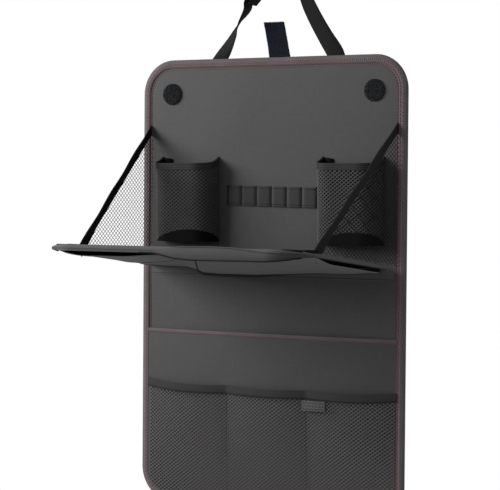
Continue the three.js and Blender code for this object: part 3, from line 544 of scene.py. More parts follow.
# %% [markdown]
# ## Seams
# A machine seam is one stitch repeated along a line. The tree spaces points along a curve and sets a bead of
# thread on each. For a zigzag every second bead leans the other way. A bump in a material would vanish in a
# view from the side, and real beads don't.
# %% The stitch tree
stitch_tree, start, end = new_tree("stitches", [
    ("Pitch", "NodeSocketFloat", 0.003),
    ("Stitch Length", "NodeSocketFloat", 0.0024),
    ("Thread", "NodeSocketFloat", 0.0007),
    ("Lean", "NodeSocketFloat", 0.0),
    ("Finish", "NodeSocketMaterial", None),
])
spaced = step(stitch_tree, "GeometryNodeCurveToPoints", {"mode": "LENGTH"},
              Curve=start.outputs["Geometry"], Length=start.outputs["Pitch"])
number = step(stitch_tree, "GeometryNodeInputIndex")
odd = step(stitch_tree, "ShaderNodeMath", {"operation": "MODULO"}, Value=number.outputs[0])
odd.inputs[1].default_value = 2
swing = step(stitch_tree, "ShaderNodeMath", {"operation": "MULTIPLY_ADD"}, Value=odd.outputs[0])
swing.inputs[1].default_value = 2
swing.inputs[2].default_value = -1
tilt = step(stitch_tree, "ShaderNodeMath", {"operation": "MULTIPLY"}, Value=swing.outputs[0])
stitch_tree.links.new(start.outputs["Lean"], tilt.inputs[1])
facing = step(stitch_tree, "FunctionNodeAlignRotationToVector", {"axis": "X"},
              Vector=spaced.outputs["Tangent"])
leaning = step(stitch_tree, "FunctionNodeAxisAngleToRotation", Axis=(0, 1, 0), Angle=tilt.outputs[0])
turned = step(stitch_tree, "FunctionNodeRotateRotation", {"rotation_space": "GLOBAL"},
              Rotation=facing.outputs[0], Rotate_By=leaning.outputs[0])
bead = step(stitch_tree, "GeometryNodeMeshUVSphere", Segments=6, Rings=4, Radius=0.5)
scale = step(stitch_tree, "ShaderNodeCombineXYZ", X=start.outputs["Stitch Length"],
             Y=start.outputs["Thread"], Z=start.outputs["Thread"])
placed = step(stitch_tree, "GeometryNodeInstanceOnPoints", Points=spaced.outputs["Points"],
              Instance=bead.outputs["Mesh"], Rotation=turned.outputs[0], Scale=scale.outputs[0])
real = step(stitch_tree, "GeometryNodeRealizeInstances", Geometry=placed.outputs[0])
dressed = step(stitch_tree, "GeometryNodeSetMaterial", Geometry=real.outputs[0],
               Material=start.outputs["Finish"])
stitch_tree.links.new(dressed.outputs[0], end.inputs[0])


def line(name, points, is_loop=False):
    """A curve object through points in millimetres."""
    curve = bpy.data.curves.new(name, "CURVE")
    curve.dimensions = "3D"
    spline = curve.splines.new("POLY")
    spline.points.add(len(points) - 1)
    for slot, point in zip(spline.points, points):
        slot.co = (*[float(c) * MM for c in point], 1)
    spline.use_cyclic_u = is_loop
    obj = bpy.data.objects.new(name, curve)
    bpy.context.collection.objects.link(obj)
    return obj


def seam(name, points, finish, body, slot, is_loop=False, pitch=4.2, length=3.3, thread=1.1, lean=0.0):
    stitches = grown(line(name, points, is_loop), stitch_tree, Pitch=pitch * MM, Stitch_Length=length * MM,
                     Thread=thread * MM, Lean=lean, Finish=finish)
    return put(stitches, body, slot)


print("the stitch tree has", len(stitch_tree.nodes), "nodes")

# %% [markdown]
# ## Net
# The nets are knitted in slanting holes. A see-through picture of holes would look flat from the side, so
# every thread is a real one: chains of points in two slanting families, which the tree turns into thin
# tubes. A rule cuts the chains at the piece's edge, and another lays them on a curved wall.
# %% The net tree
net_tree, start, end = new_tree("net threads", [
    ("Thread", "NodeSocketFloat", 0.0004),
    ("Finish", "NodeSocketMaterial", None),
])
runs = step(net_tree, "GeometryNodeMeshToCurve", Mesh=start.outputs["Geometry"])
circle = step(net_tree, "GeometryNodeCurvePrimitiveCircle", Resolution=4, Radius=start.outputs["Thread"])
tubes = step(net_tree, "GeometryNodeCurveToMesh", Curve=runs.outputs[0],
             Profile_Curve=circle.outputs["Curve"], Fill_Caps=True)
dressed = step(net_tree, "GeometryNodeSetMaterial", Geometry=tubes.outputs[0],
               Material=start.outputs["Finish"])
net_tree.links.new(dressed.outputs[0], end.inputs[0])


def net(name, width, height, hole, place, inside, thread, finish):
    """Threads in two slanting families over a flat width and height, laid in space by place(a, b).

    Each thread is a chain of points half a hole apart, cut where inside(a, b) is false."""
    half_wide, half_tall = hole[0] / 2, hole[1] / 2
    across, down = int(width / half_wide), int(height / half_tall)
    points, edges = [], []
    for slant in (1, -1):
        for first in range(-2 * (down // 2 + 1), across + down + 2, 2):
            before = None
            for j in range(down + 1):
                a, b = (first + slant * j) * half_wide, j * half_tall
                if not (0 <= a <= width and inside(a, b)):
                    before = None
                    continue
                points.append(place(a, b))
                if before is not None:
                    edges.append((before, len(points) - 1))
                before = len(points) - 1
    mesh = bpy.data.meshes.new(name)
    mesh.from_pydata([tuple(float(c) * MM for c in p) for p in points], edges, [])
    obj = bpy.data.objects.new(name, mesh)
    bpy.context.collection.objects.link(obj)
    return grown(obj, net_tree, Thread=thread * MM, Finish=finish)


print("the net tree has", len(net_tree.nodes), "nodes")

# %% [markdown]
# ## The panel
# A board lies between a front sheet and a lining, and one long tape is folded over the edge of all three
# and sewn through. The front sheet is stretched, so it is nearly flat, with broad shallow waves where the
# board gives. The outline is two straight pairs of sides with round corners.
# %% Panel sizes
PANEL_WIDTH = 410
PANEL_HEIGHT = 630
PANEL_CORNER = 48
PANEL_INSET = 4
BINDING_WIDTH = 12
SHEET_FRONT = -6.5
SHEET_THICK = 1
LINING_FRONT = -2.4
CORNER_STEPS = 16


def panel_outline(inset, step_long=9.0):
    """Points round the panel as (x, z), with steps along its straight sides too."""
    x, y = PANEL_WIDTH / 2 - PANEL_CORNER, PANEL_HEIGHT / 2 - PANEL_CORNER
    r = PANEL_CORNER - inset
    points = []
    for k, (sx, sy) in enumerate([(1, 1), (-1, 1), (-1, -1), (1, -1)]):
        for i in range(CORNER_STEPS + 1):
            angle = math.pi / 2 * (k + i / CORNER_STEPS)
            points.append((sx * x + r * math.cos(angle), sy * y + r * math.sin(angle)))
        length = 2 * (x if k % 2 == 0 else y)
        count = int(length / step_long)
        ax, ay = points[-1]
        way = [(-1, 0), (0, -1), (1, 0), (0, 1)][k]
        for i in range(1, count):
            points.append((ax + way[0] * length * i / count, ay + way[1] * length * i / count))
    return points


def half_width(z, inset):
    """Half the panel's width at a height, less at its round corners."""
    over = np.maximum(0, np.abs(z) - (PANEL_HEIGHT / 2 - PANEL_CORNER))
    radius = PANEL_CORNER - inset
    return PANEL_WIDTH / 2 - PANEL_CORNER + np.sqrt(np.maximum(0, radius * radius - over * over))


def eased(share):
    """A share from 0 to 1 that starts and ends gently."""
    share = np.clip(share, 0, 1)
    return share * share * (3 - 2 * share)


def waves(x, z):
    """Broad shallow waves of stretched cloth, from -1 to 1."""
    return (np.sin(x / 37 + 0.8) * np.sin(z / 53 + 0.3) + 0.5 * np.sin(x / 19 - z / 31)) / 1.5


print("panel", PANEL_WIDTH, "by", PANEL_HEIGHT, "mm,", len(panel_outline(0)), "points round it")

# %% [markdown]
# ## Front sheet and lining
# Both are cut to the panel's outline, a little inside the tape's fold, and stretched over the board. A cloth
# simulation would only find the flat board again, so a rule gives the front its faint waves. The lining
# is drawn in behind the tape, where it gets thinner towards the edge.
# %% Front sheet and lining
PANEL_FLAT = (0.402, 0.622)
WAVE_DEEP = 0.25


def front_place(u, v, side):
    z = (PANEL_HEIGHT / 2 - PANEL_INSET) * np.cos(math.pi * v)
    x = (u * 2 - 1) * half_width(z, PANEL_INSET)
    calm = np.minimum(1, (half_width(z, PANEL_INSET) - np.abs(x)) / 20)
    y = SHEET_FRONT + SHEET_THICK * (1 - side) - WAVE_DEEP * calm * (1 + waves(x, z)) * side
    return x, y, z


front = sheet("panel_front_sheet", 70, 110, front_place, PANEL_FLAT, panel_leather)
put(front, BACK, "leatherette", "front_sheet")


def lining_place(u, v, side):
    z = (PANEL_HEIGHT / 2 - PANEL_INSET) * np.cos(math.pi * v)
    half = half_width(z, PANEL_INSET)
    x = (u * 2 - 1) * half
    rim = np.minimum(half_width(z, 0) - np.abs(x), PANEL_HEIGHT / 2 - np.abs(z))
    back = -1.6 + 1.6 * np.clip((rim - BINDING_WIDTH) / 4, 0, 1) ** 0.6
    return x, np.where(side == 1, back, LINING_FRONT), z


lining = sheet("rear_lining_cloth", 70, 110, lining_place, PANEL_FLAT, lining_cloth)
put(lining, BACK, "lining_cloth", "rear_lining")

# %% [markdown]
# ## Edge binding
# One tape is folded over the edge of board, sheet and lining. A curve with a bevel would do, but its
# section turns at the corners in its own way. Here each point of the section is an inset from the
# outline and a depth, so the tape keeps its width round every corner.
# %% Edge binding
BINDING_OUTER = [
    (12.0, -7.3), (11.4, -7.75), (9.5, -7.85), (7.0, -7.75), (5.0, -7.45), (3.2, -6.95), (1.8, -6.3),
    (0.8, -5.5), (0.2, -4.7), (0.0, -3.9), (0.2, -3.1), (0.8, -2.2), (1.8, -1.4), (3.2, -0.8),
    (5.0, -0.45), (8.0, -0.3), (11.6, -0.35), (12.0, -0.7),
]
BINDING_INNER = [(12.0, -1.2), (3.0, -1.4), (1.2, -2.4), (0.9, -4.0), (1.2, -5.4), (3.0, -6.5), (12.0, -6.8)]


rows = [[(x, depth, z) for x, z in panel_outline(inset)] for inset, depth in BINDING_OUTER + BINDING_INNER]
binding = swept("panel_edge_binding", list(zip(*rows)), True, 2.0, 0.05, edge_tape)
put(binding, BACK, "binding_tape", "edge_binding")

# %% [markdown]
# ## Seams of the panel
# The tape is held by a straight red seam along its inner edge and a pale zigzag nearer the rim, and a
# second red seam runs just inside it on the sheet. Behind, a dark seam shows on the lining.
# %% Seams of the panel


def edge_line(inset, depth):
    return [(x, depth, z) for x, z in panel_outline(inset, step_long=4)]


seam("binding_seam", edge_line(10.3, -8.0), red_thread, BACK, "binding_tape", True)
seam("binding_zigzag", edge_line(6.6, -8.0), pale_thread, BACK, "binding_tape", True,
     pitch=3.0, length=4.2, thread=0.8, lean=1.0)
seam("panel_seam", edge_line(14.4, -6.9), red_thread, BACK, "leatherette", True, thread=0.9)
seam("lining_seam", edge_line(10.3, -0.25), dark_thread, BACK, "lining_cloth", True, pitch=3.4)

# %% [markdown]
# ## Pile
# A fastener dot is a disc of cloth covered in tiny upright loops or hooks. Hair would not leave the file as
# a mesh, so the tree spreads points over the disc with a fixed seed and sets a small leaning tuft on each.
# %% The pile tree
pile_tree, start, end = new_tree("pile", [
    ("Density", "NodeSocketFloat", 900000.0),
    ("Tuft", "NodeSocketFloat", 0.0008),
    ("Finish", "NodeSocketMaterial", None),
])
spread = step(pile_tree, "GeometryNodeDistributePointsOnFaces", Mesh=start.outputs["Geometry"],
              Density=start.outputs["Density"], Seed=4)
turn = step(pile_tree, "FunctionNodeRandomValue", {"data_type": "FLOAT_VECTOR"}, Seed=7)
turn.inputs[0].default_value = (-0.6, -0.6, 0)
turn.inputs[1].default_value = (0.6, 0.6, 6.2)
lean = step(pile_tree, "FunctionNodeRotateRotation", {"rotation_space": "LOCAL"},
            Rotation=spread.outputs["Rotation"])
pile_tree.links.new(turn.outputs[0], lean.inputs[1])
loop_shape = step(pile_tree, "GeometryNodeMeshCone", Vertices=4, Radius_Top=0.35, Radius_Bottom=0.5,
                  Depth=1.6)
tuft_size = step(pile_tree, "ShaderNodeCombineXYZ", X=start.outputs["Tuft"], Y=start.outputs["Tuft"],
                 Z=start.outputs["Tuft"])
tufts = step(pile_tree, "GeometryNodeInstanceOnPoints", Points=spread.outputs["Points"],
             Instance=loop_shape.outputs["Mesh"], Rotation=lean.outputs[0], Scale=tuft_size.outputs[0])
real = step(pile_tree, "GeometryNodeRealizeInstances", Geometry=tufts.outputs[0])
dressed = step(pile_tree, "GeometryNodeSetMaterial", Geometry=real.outputs[0],
               Material=start.outputs["Finish"])
both = step(pile_tree, "GeometryNodeJoinGeometry")
pile_tree.links.new(dressed.outputs[0], both.inputs[0])
pile_tree.links.new(start.outputs["Geometry"], both.inputs[0])
pile_tree.links.new(both.outputs[0], end.inputs[0])
print("the pile tree has", len(pile_tree.nodes), "nodes")

# %% [markdown]
# ## Where the tray is
# Everything on the tray is measured from its hinge: how far across, how far in front of the hinge, and how
# high over the tray's middle. One helper turns those three into a place in space, so that no piece of the
# tray has to be turned afterwards.
# %% The tray's own measure
HINGE_DEPTH = -18.85
HINGE_HEIGHT = 28.6
REST_TILT = math.radians(6.05)
TRAY_FACE = 2.35
TRAY_RIM = 3.45


def tray_point(x, reach, height):
    """A point of the tray, from its distance in front of the hinge and its height over the tray's middle."""
    y = HINGE_DEPTH - reach * math.cos(REST_TILT) + height * math.sin(REST_TILT)
    z = HINGE_HEIGHT + reach * math.sin(REST_TILT) + height * math.cos(REST_TILT)
    return x, y, z


print("the tray's board leaves the hinge at", [round(c, 1) for c in tray_point(0, 0, 0)])

# %% [markdown]
# ## The dots
# Two dots stand near the panel's upper corners, and two on the tray meet them when it shuts. Each is a low
# disc with a round edge, made from a profile turned about its middle, with the pile grown over it.
# %% The dots
DOT_SPREAD = 157
DOT_HEIGHT = 266.6
HOOK_REACH = 233.5
DOT_SIDES = 48
DOT_THICK = 2.0
LOOP_RADIUS = 14.5
HOOK_RADIUS = 13.5


def dot(name, radius, place, body, node):
    thick = DOT_THICK
    profile = [(radius - 0.3, 0), (radius, 0.5), (radius - 0.4, thick - 0.4), (radius - 1.4, thick),
               (radius * 0.6, thick + 0.1), (radius * 0.3, thick)]
    rings = []
    for k in range(DOT_SIDES):
        angle = 2 * math.pi * k / DOT_SIDES
        rings.append([place(r * math.cos(angle), r * math.sin(angle), h) for r, h in profile])
    size = len(profile)
    points = [p for ring in rings for p in ring] + [place(0, 0, 0), place(0, 0, thick)]
    foot, crown = len(points) - 2, len(points) - 1
    faces = []
    for k in range(DOT_SIDES):
        here, there = k * size, ((k + 1) % DOT_SIDES) * size
        faces += [[here + i, here + i + 1, there + i + 1, there + i] for i in range(size - 1)]
        faces += [[foot, here, there], [here + size - 1, crown, there + size - 1]]
    disc = made(name, points, faces, [(0, 0)] * len(points), fuzz)
    return put(grown(disc, pile_tree, Density=1.1e6, Tuft=0.0007, Finish=fuzz), body, "hook_and_loop", node)


for side, sign in (("left", -1), ("right", 1)):
    def on_panel(a, b, h):
        return sign * DOT_SPREAD + a, SHEET_FRONT - 0.3 - h, DOT_HEIGHT + b

    def on_tray(a, b, h):
        return tray_point(sign * DOT_SPREAD + a, HOOK_REACH + b, TRAY_FACE + 0.3 + h)

    dot(f"{side}_loop_pile", LOOP_RADIUS, on_panel, BACK, f"{side}_loop_dot")
    dot(f"{side}_hook_pile", HOOK_RADIUS, on_tray, TRAY, f"{side}_hook_dot")

# %% [markdown]
# ## Pen loops
# The pen band is one strip sewn down between its loops, so each loop stands up a little and is flat at its seams. The
# rise could be sculpted, but a rule in the run along the band gives all six alike. The band slopes down a little to the
# right, and a black crescent at its right end is painted shade inside the last loop's open end.
# %% Pen loops
PEN_LOOPS = 6
PEN_PITCH = 23.4
PEN_MIDDLE = 3.4
PEN_FOOT = 109.2
PEN_TALL = 27.6
PEN_RISE = 1.4
PEN_LEAN = 0.019
PEN_THICK = 1.0
PEN_FLAT = 2.0
PEN_STEPS = 14


def pen_rise(x):
    """How far the band stands off the panel: raised loops with flat seams between them."""
    across = ((x % PEN_PITCH) - PEN_PITCH / 2) / ((PEN_PITCH - PEN_FLAT) / 2)
    return PEN_RISE * np.sqrt(np.maximum(0, 1 - across ** 6))


def pen_place(u, v, side):
    """A point of the band, which leans down a little to the right."""
    run = u * PEN_LOOPS * PEN_PITCH
    x = PEN_MIDDLE - PEN_LOOPS * PEN_PITCH / 2 + run
    y = SHEET_FRONT - 0.3 - pen_rise(run) - side * PEN_THICK
    return x, y, PEN_FOOT + v * PEN_TALL - PEN_LEAN * (x - PEN_MIDDLE)


pens = sheet("pen_loop_strip", PEN_LOOPS * PEN_STEPS, 8, pen_place, (0.2, 0.03), pen_leather)
put(pens, BACK, "leatherette", "pen_loop_band")
pen_front = SHEET_FRONT - 0.3 - PEN_THICK - 0.2
for k in range(PEN_LOOPS + 1):
    share = (k + (0.03 if k == 0 else -0.03 if k == PEN_LOOPS else 0)) / PEN_LOOPS
    ends = [pen_place(np.float64(share), np.float64(v), 1) for v in (0.02, 0.98)]
    seam(f"pen_seam_{k + 1}", [(end[0], pen_front, end[2]) for end in ends], dark_thread, BACK,
         "leatherette", pitch=2.4, length=2.0, thread=0.8)
for height in (0.1, 0.9):
    runs = [pen_place(np.float64(k / 160), np.float64(height), 1) for k in range(161)]
    seam(f"pen_edge_seam_{height:.1f}", [(x, y - 0.15, z) for x, y, z in runs], dark_thread, BACK,
         "leatherette", pitch=2.4, length=2.0, thread=0.7)


def pen_end_shade_place(u, v, side):
    """A black crescent beside the last loop, painted shade inside the loop's open end."""
    x, y, z = pen_place(np.ones_like(u), v, 1)
    bulge = np.sin(math.pi * np.clip(0.06 + 0.88 * v, 0, 1))
    return x - 1.2 + (1.6 + 2.8 * bulge) * u, y - 0.4 - 0.8 * side, z + 1.2 * (2 * v - 1)


# A black sheet: painted shade inside the last loop's open end.
put(sheet("pen_band_end_painted_shade", 6, 12, pen_end_shade_place, (0.004, 0.028), black_cloth), BACK, "leatherette")

# %% [markdown]
# ## Cup pockets
# Each cup is a net wall, gathered along its mouth by an elastic band, with a black band round its foot that is partly
# cloth and partly painted shade. The wall's plan is a U. A share of the way round the U and a height give every point
# of it, so that the wall, its band, its lining and its foot all follow the same rule and keep together.
# %% The cup's plan
CUP_MIDDLE = 126.5
CUP_HALF = 45.5
CUP_DEPTH = 38
CUP_CORNER = 26
CUP_FOOT = 60
CUP_MOUTH = 178
CUP_DIP = 9.6
CUP_FOOT_SHARE = 0.8
CUP_BAND = 9
CUP_SKIRT = 16
SKIRT_START = 0.22
NET_HOLE = (6.6, 5.0)
NET_THREAD = 0.5

SIDE = CUP_DEPTH - CUP_CORNER
ARC = math.pi / 2 * CUP_CORNER
FRONT = 2 * (CUP_HALF - CUP_CORNER)
CUP_GIRTH = 2 * SIDE + 2 * ARC + FRONT


def cup_plan(share):
    """The U's point and outward direction at a share of the girth."""
    run = float(share) * CUP_GIRTH
    if run <= SIDE:
        return (-CUP_HALF, -run), (-1, 0)
    if run <= SIDE + ARC:
        turn = (run - SIDE) / CUP_CORNER
        out = (-math.cos(turn), -math.sin(turn))
        return (-(CUP_HALF - CUP_CORNER) + CUP_CORNER * out[0], -SIDE + CUP_CORNER * out[1]), out
    if run <= SIDE + ARC + FRONT:
        return (-(CUP_HALF - CUP_CORNER) + run - SIDE - ARC, -CUP_DEPTH), (0, -1)
    (x, y), out = cup_plan(1 - share)
    return (-x, y), (-out[0], out[1])


def cup_point(middle, share, z, out):
    (x, y), way = cup_plan(min(max(share, 0), 1))
    rise = min(max((z - CUP_FOOT) / (CUP_MOUTH - CUP_FOOT), 0), 1)
    shrink = CUP_FOOT_SHARE + (1 - CUP_FOOT_SHARE) * rise
    return middle + x + way[0] * out, SHEET_FRONT - 0.3 + min(0, y * shrink + way[1] * out), z


def cup_mouth(share):
    return CUP_MOUTH - CUP_DIP * (1 - abs(2 * share - 1) ** 5)


def skirt_rise(share):
    """The black foot's height on the net wall, an arch that starts some way round from the left. The arch follows the
    shade low in the cup, so the foot is partly painted shade.
    """
    along = min(max(share - SKIRT_START, 0) / (1 - SKIRT_START), 1)
    return CUP_SKIRT * math.sin(math.pi * along) ** 0.8


def pointwise(rule):
    """Turns a rule for single numbers into one for arrays."""
    def over(u, v, side):
        rows = [rule(float(a), float(b), side) for a, b in zip(u, v)]
        return tuple(np.array(rows).T)
    return over


print("a cup's wall is", round(CUP_GIRTH), "mm round")

# %% [markdown]
# ## Cup pockets, piece by piece
# The net is outside, with a thin dark mesh just behind it, which is also painted shade inside the cup. A black band low
# on it is partly a cloth foot and partly painted shade. A black sheet behind the band is painted shade on the band's
# inner face, and a black patch on the panel at the wall's left side is painted shade seen through the mouth. When the
# tray shuts it presses the pockets flat.
# %% Cup pockets
BAND_THICK = 2.0
FOOT_THICK = 0.9
LINING_IN = 1.2
BAND_SHADE_IN = 1.9
BAND_SHADE_TALL = 26
THIN_CLOTH = 0.5


def cup_sheet(name, columns, rows, rule, flat, finish, *nodes):
    """One sheet of a cup pocket, with a mesh of its own."""
    slot = "webbing" if finish is elastic else "netting"
    piece = sheet(name, columns, rows, pointwise(rule), (flat[0] * MM, flat[1] * MM), finish)
    return pressed(put(piece, BACK, slot, *nodes))


def pressed(piece):
    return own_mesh(piece)


def wall_top(share):
    return cup_mouth(share) - CUP_BAND


for side, middle in (("left", -CUP_MIDDLE), ("right", CUP_MIDDLE)):
    def wall_place(a, b):
        return cup_point(middle, a / CUP_GIRTH, CUP_FOOT + b, 0)

    def in_wall(a, b):
        return CUP_FOOT + b < wall_top(a / CUP_GIRTH) + 2

    def band_place(a, b, face):
        return cup_point(middle, a, cup_mouth(a) - CUP_BAND * (1 - b), (face - 0.5) * BAND_THICK)

    def foot_and_shade_place(a, b, face):
        return cup_point(middle, a, CUP_FOOT - 1 + (1 + skirt_rise(a)) * b, (face + 0.5) * FOOT_THICK)

    def lining_and_shade_wall(a, b, face):
        z = CUP_FOOT + (wall_top(a) - CUP_FOOT) * b
        return cup_point(middle, a, z, -LINING_IN - face * THIN_CLOTH)

    def band_shade_place(a, b, face):
        return cup_point(middle, a, cup_mouth(a) - 0.6 - BAND_SHADE_TALL * b, -BAND_SHADE_IN - face * THIN_CLOTH)

    def opening_shade_place(u, v, face):
        y = SHEET_FRONT - 0.4 - face * (1.2 + 2.2 * math.sin(math.pi * u))
        return middle - CUP_HALF + 3 + 13.5 * u, y, CUP_MOUTH - 1.6 - 2 * u * u - 22 * v

    wall = net(f"{side}_cup_wall", CUP_GIRTH, CUP_MOUTH - CUP_FOOT, NET_HOLE, wall_place, in_wall, NET_THREAD,
               cup_thread)
    pressed(put(wall, BACK, "netting", f"{side}_cup_net"))
    cup_sheet(f"{side}_cup_elastic", 60, 4, band_place, (CUP_GIRTH, CUP_BAND), elastic, f"{side}_cup_band")
    # The black foot: partly cloth, partly painted shade low in the cup.
    cup_sheet(f"{side}_cup_foot_and_shade", 60, 4, foot_and_shade_place, (CUP_GIRTH, CUP_SKIRT), black_cloth)
    # A dark mesh behind the net, which also paints the shade inside the cup.
    cup_sheet(f"{side}_cup_lining_and_shade", 60, 30, lining_and_shade_wall, (CUP_GIRTH, 110), cup_mesh_and_shade)
    # A black sheet behind the band, painted shade on its inner face.
    cup_sheet(f"{side}_cup_band_painted_shade", 60, 6, band_shade_place, (CUP_GIRTH, BAND_SHADE_TALL), black_cloth)
    # A black patch on the panel by the wall's left side, painted shade seen through the mouth.
    cup_sheet(f"{side}_cup_opening_painted_shade", 4, 8, opening_shade_place, (14, 22), black_cloth)
    rim = [cup_point(middle, k / 60, CUP_FOOT, 0) for k in range(61)]
    rings = [[(x, y, z - 0.3 - h) for x, y, z in rim] for h in (0, 1)]
    floor = swept(f"{side}_cup_floor", rings, False, 0.001, 0.15, black_cloth)
    pressed(put(floor, BACK, "netting", f"{side}_cup_base"))

# %% [markdown]
# ## Pockets of the lower panel
# The flat pocket bows out a little across its whole width. The net in front of it is sewn down at two
# seams, so it makes three pouches. Its mouth hem sags between the seams. Both could be pushed out by
# hand in sculpt mode. A bow with a cosine fall keeps their sewn edges exactly on the panel.
# %% Pocket sizes
CLOTH_INSET = 12.3
POCKET_MOUTH = -67.2
POCKET_BOW = 8
POCKET_THICK = 0.9
POCKET_BINDING = 5.5
NET_MOUTH = -140.5
NET_HEM = 12
NET_BOW = 8
NET_SEAM = 62
CLOTH_FOOT = -(PANEL_HEIGHT / 2 - CLOTH_INSET)
CLOTH_HALF = PANEL_WIDTH / 2 - CLOTH_INSET


def pocket_bow(x, z):
    down = np.clip((POCKET_MOUTH - z) / (POCKET_MOUTH - CLOTH_FOOT), 0, 1)
    return POCKET_BOW * np.maximum(0, 1 - (x / CLOTH_HALF) ** 2) * np.cos(math.pi / 2 * down)


def pouch_share(x):
    """Where x lies in its own pouch, from -1 at one seam to 1 at the next."""
    half = (CLOTH_HALF - NET_SEAM) / 2
    return np.where(np.abs(x) < NET_SEAM, x / NET_SEAM, (np.abs(x) - NET_SEAM - half) / half)


def net_bow(x, z):
    sideways = pouch_share(x)
    down = np.clip((NET_MOUTH - z) / (NET_MOUTH - CLOTH_FOOT), 0, 1)
    return NET_BOW * np.maximum(0, 1 - sideways * sideways) * np.cos(math.pi / 2 * down)


def net_mouth(x):
    """The hem's upper edge, which sags between the sides and a little more in each pouch."""
    sideways = pouch_share(x)
    whole = 1 - np.abs(np.clip(x / CLOTH_HALF, -1, 1)) ** 5
    return NET_MOUTH + 2 - 3.4 * whole - 1.3 * np.maximum(0, 1 - sideways * sideways)


def pocket_face(x, z):
    return SHEET_FRONT - 0.3 - pocket_bow(x, z)


def net_face(x, z):
    return pocket_face(x, z) - POCKET_THICK - 0.3 - net_bow(x, z)


# %% Flat pocket


def cloth_half(z):
    return half_width(z, CLOTH_INSET) + 1.0


def pocket_place(u, v, side):
    z = POCKET_MOUTH - 1 + (CLOTH_FOOT + 1 - POCKET_MOUTH) * np.sin(math.pi / 2 * v)
    x = (u * 2 - 1) * cloth_half(z)
    y = pocket_face(x, z) - side * (POCKET_THICK - 0.1 + 0.25 * (1 + waves(x + 20, z * 1.3)))
    return x, y, z


pocket = sheet("flat_pocket_cloth", 70, 50, pocket_place, (0.385, 0.235), pocket_leather)
put(pocket, BACK, "leatherette", "flat_pocket_front")


def strip_place(top, tall, thick, face):
    """A band on a face, from the height top(x) down, with a softly rounded front."""
    def place(u, v, side):
        x = (u * 2 - 1) * cloth_half(top(0.0))
        z = top(x) - tall * v
        round_over = 0.35 * (1 - (2 * v - 1) ** 2)
        return x, face(x, z) - side * (thick + round_over) + (1 - side) * 0.05, z
    return place


edge_rule = strip_place(lambda x: POCKET_MOUTH, POCKET_BINDING, 1.5, pocket_face)
pocket_edge = sheet("flat_pocket_edge", 90, 6, edge_rule, (0.385, 0.0055), edge_tape)
put(pocket_edge, BACK, "binding_tape", "flat_pocket_binding")


def across(height, face, off):
    """A line across the panel on a face, at a height that may change with x."""
    places = np.linspace(-CLOTH_HALF, CLOTH_HALF, 120)
    return [(x, float(face(x, height(x))) - off, height(x)) for x in places]


mouth_line = across(lambda x: POCKET_MOUTH - 4.2, pocket_face, 2.0)
seam("flat_pocket_seam", mouth_line, red_thread, BACK, "binding_tape")

# %% Net pocket
wall_top = NET_MOUTH - NET_HEM + 5
wall = net("net_pocket_wall", 2 * CLOTH_HALF + 2, wall_top - CLOTH_FOOT, NET_HOLE,
           lambda a, b: (a - CLOTH_HALF - 1, float(net_face(a - CLOTH_HALF - 1, wall_top - b)) - 0.5, wall_top - b),
           lambda a, b: (abs(a - CLOTH_HALF - 1) < cloth_half(wall_top - b)
                         and wall_top - b < net_mouth(a - CLOTH_HALF - 1) - NET_HEM + 3), NET_THREAD, net_thread)
put(wall, BACK, "netting", "net_pocket")
hem = sheet("net_hem_band", 120, 6, strip_place(net_mouth, NET_HEM, 1.5, net_face), (0.385, 0.012), net_hem_cloth)
put(hem, BACK, "leatherette", "net_pocket_hem")
seam("net_hem_seam", across(lambda x: net_mouth(x) - NET_HEM + 1.6, net_face, 2.0), dark_thread, BACK, "leatherette")
for side, x in (("left", -NET_SEAM), ("right", NET_SEAM)):
    runs = [(x, float(net_face(x, z)) - 1.2, z) for z in np.linspace(net_mouth(x) - 1, CLOTH_FOOT + 2, 40)]
    seam(f"net_{side}_seam", runs, dark_thread, BACK, "netting", thread=0.9)
TAB_LOW, TAB_HIGH = [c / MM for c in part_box("net_pocket_tab")[0]], [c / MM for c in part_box("net_pocket_tab")[1]]


def tab_place(u, v, side):
    x = TAB_LOW[0] + (TAB_HIGH[0] - TAB_LOW[0]) * u
    z = TAB_HIGH[2] + (TAB_LOW[2] - TAB_HIGH[2]) * v
    y = TAB_HIGH[1] - side * 0.8 - 0.5 * np.sin(math.pi * u) + 0.4
    return x, y, z


put(sheet("net_tab", 16, 8, tab_place, (0.035, 0.014), tab_cloth), BACK, "binding_tape", "net_pocket_tab")

# %% [markdown]
# ## The tray
# The tray is a smaller board between two covers, with a binding like the panel's. A soft sheet is slung
# under it: it gapes at the front and sags in the middle. The front lip droops right of the middle. The
# drop of the sheet is one sum of sag, gape and folds, so each can be changed without the others.
# %% Tray sizes
TRAY_WIDTH = 383
TRAY_LENGTH = 272
TRAY_SETBACK = 2
TRAY_FRONT_CORNER = 50
TRAY_REAR_CORNER = 15


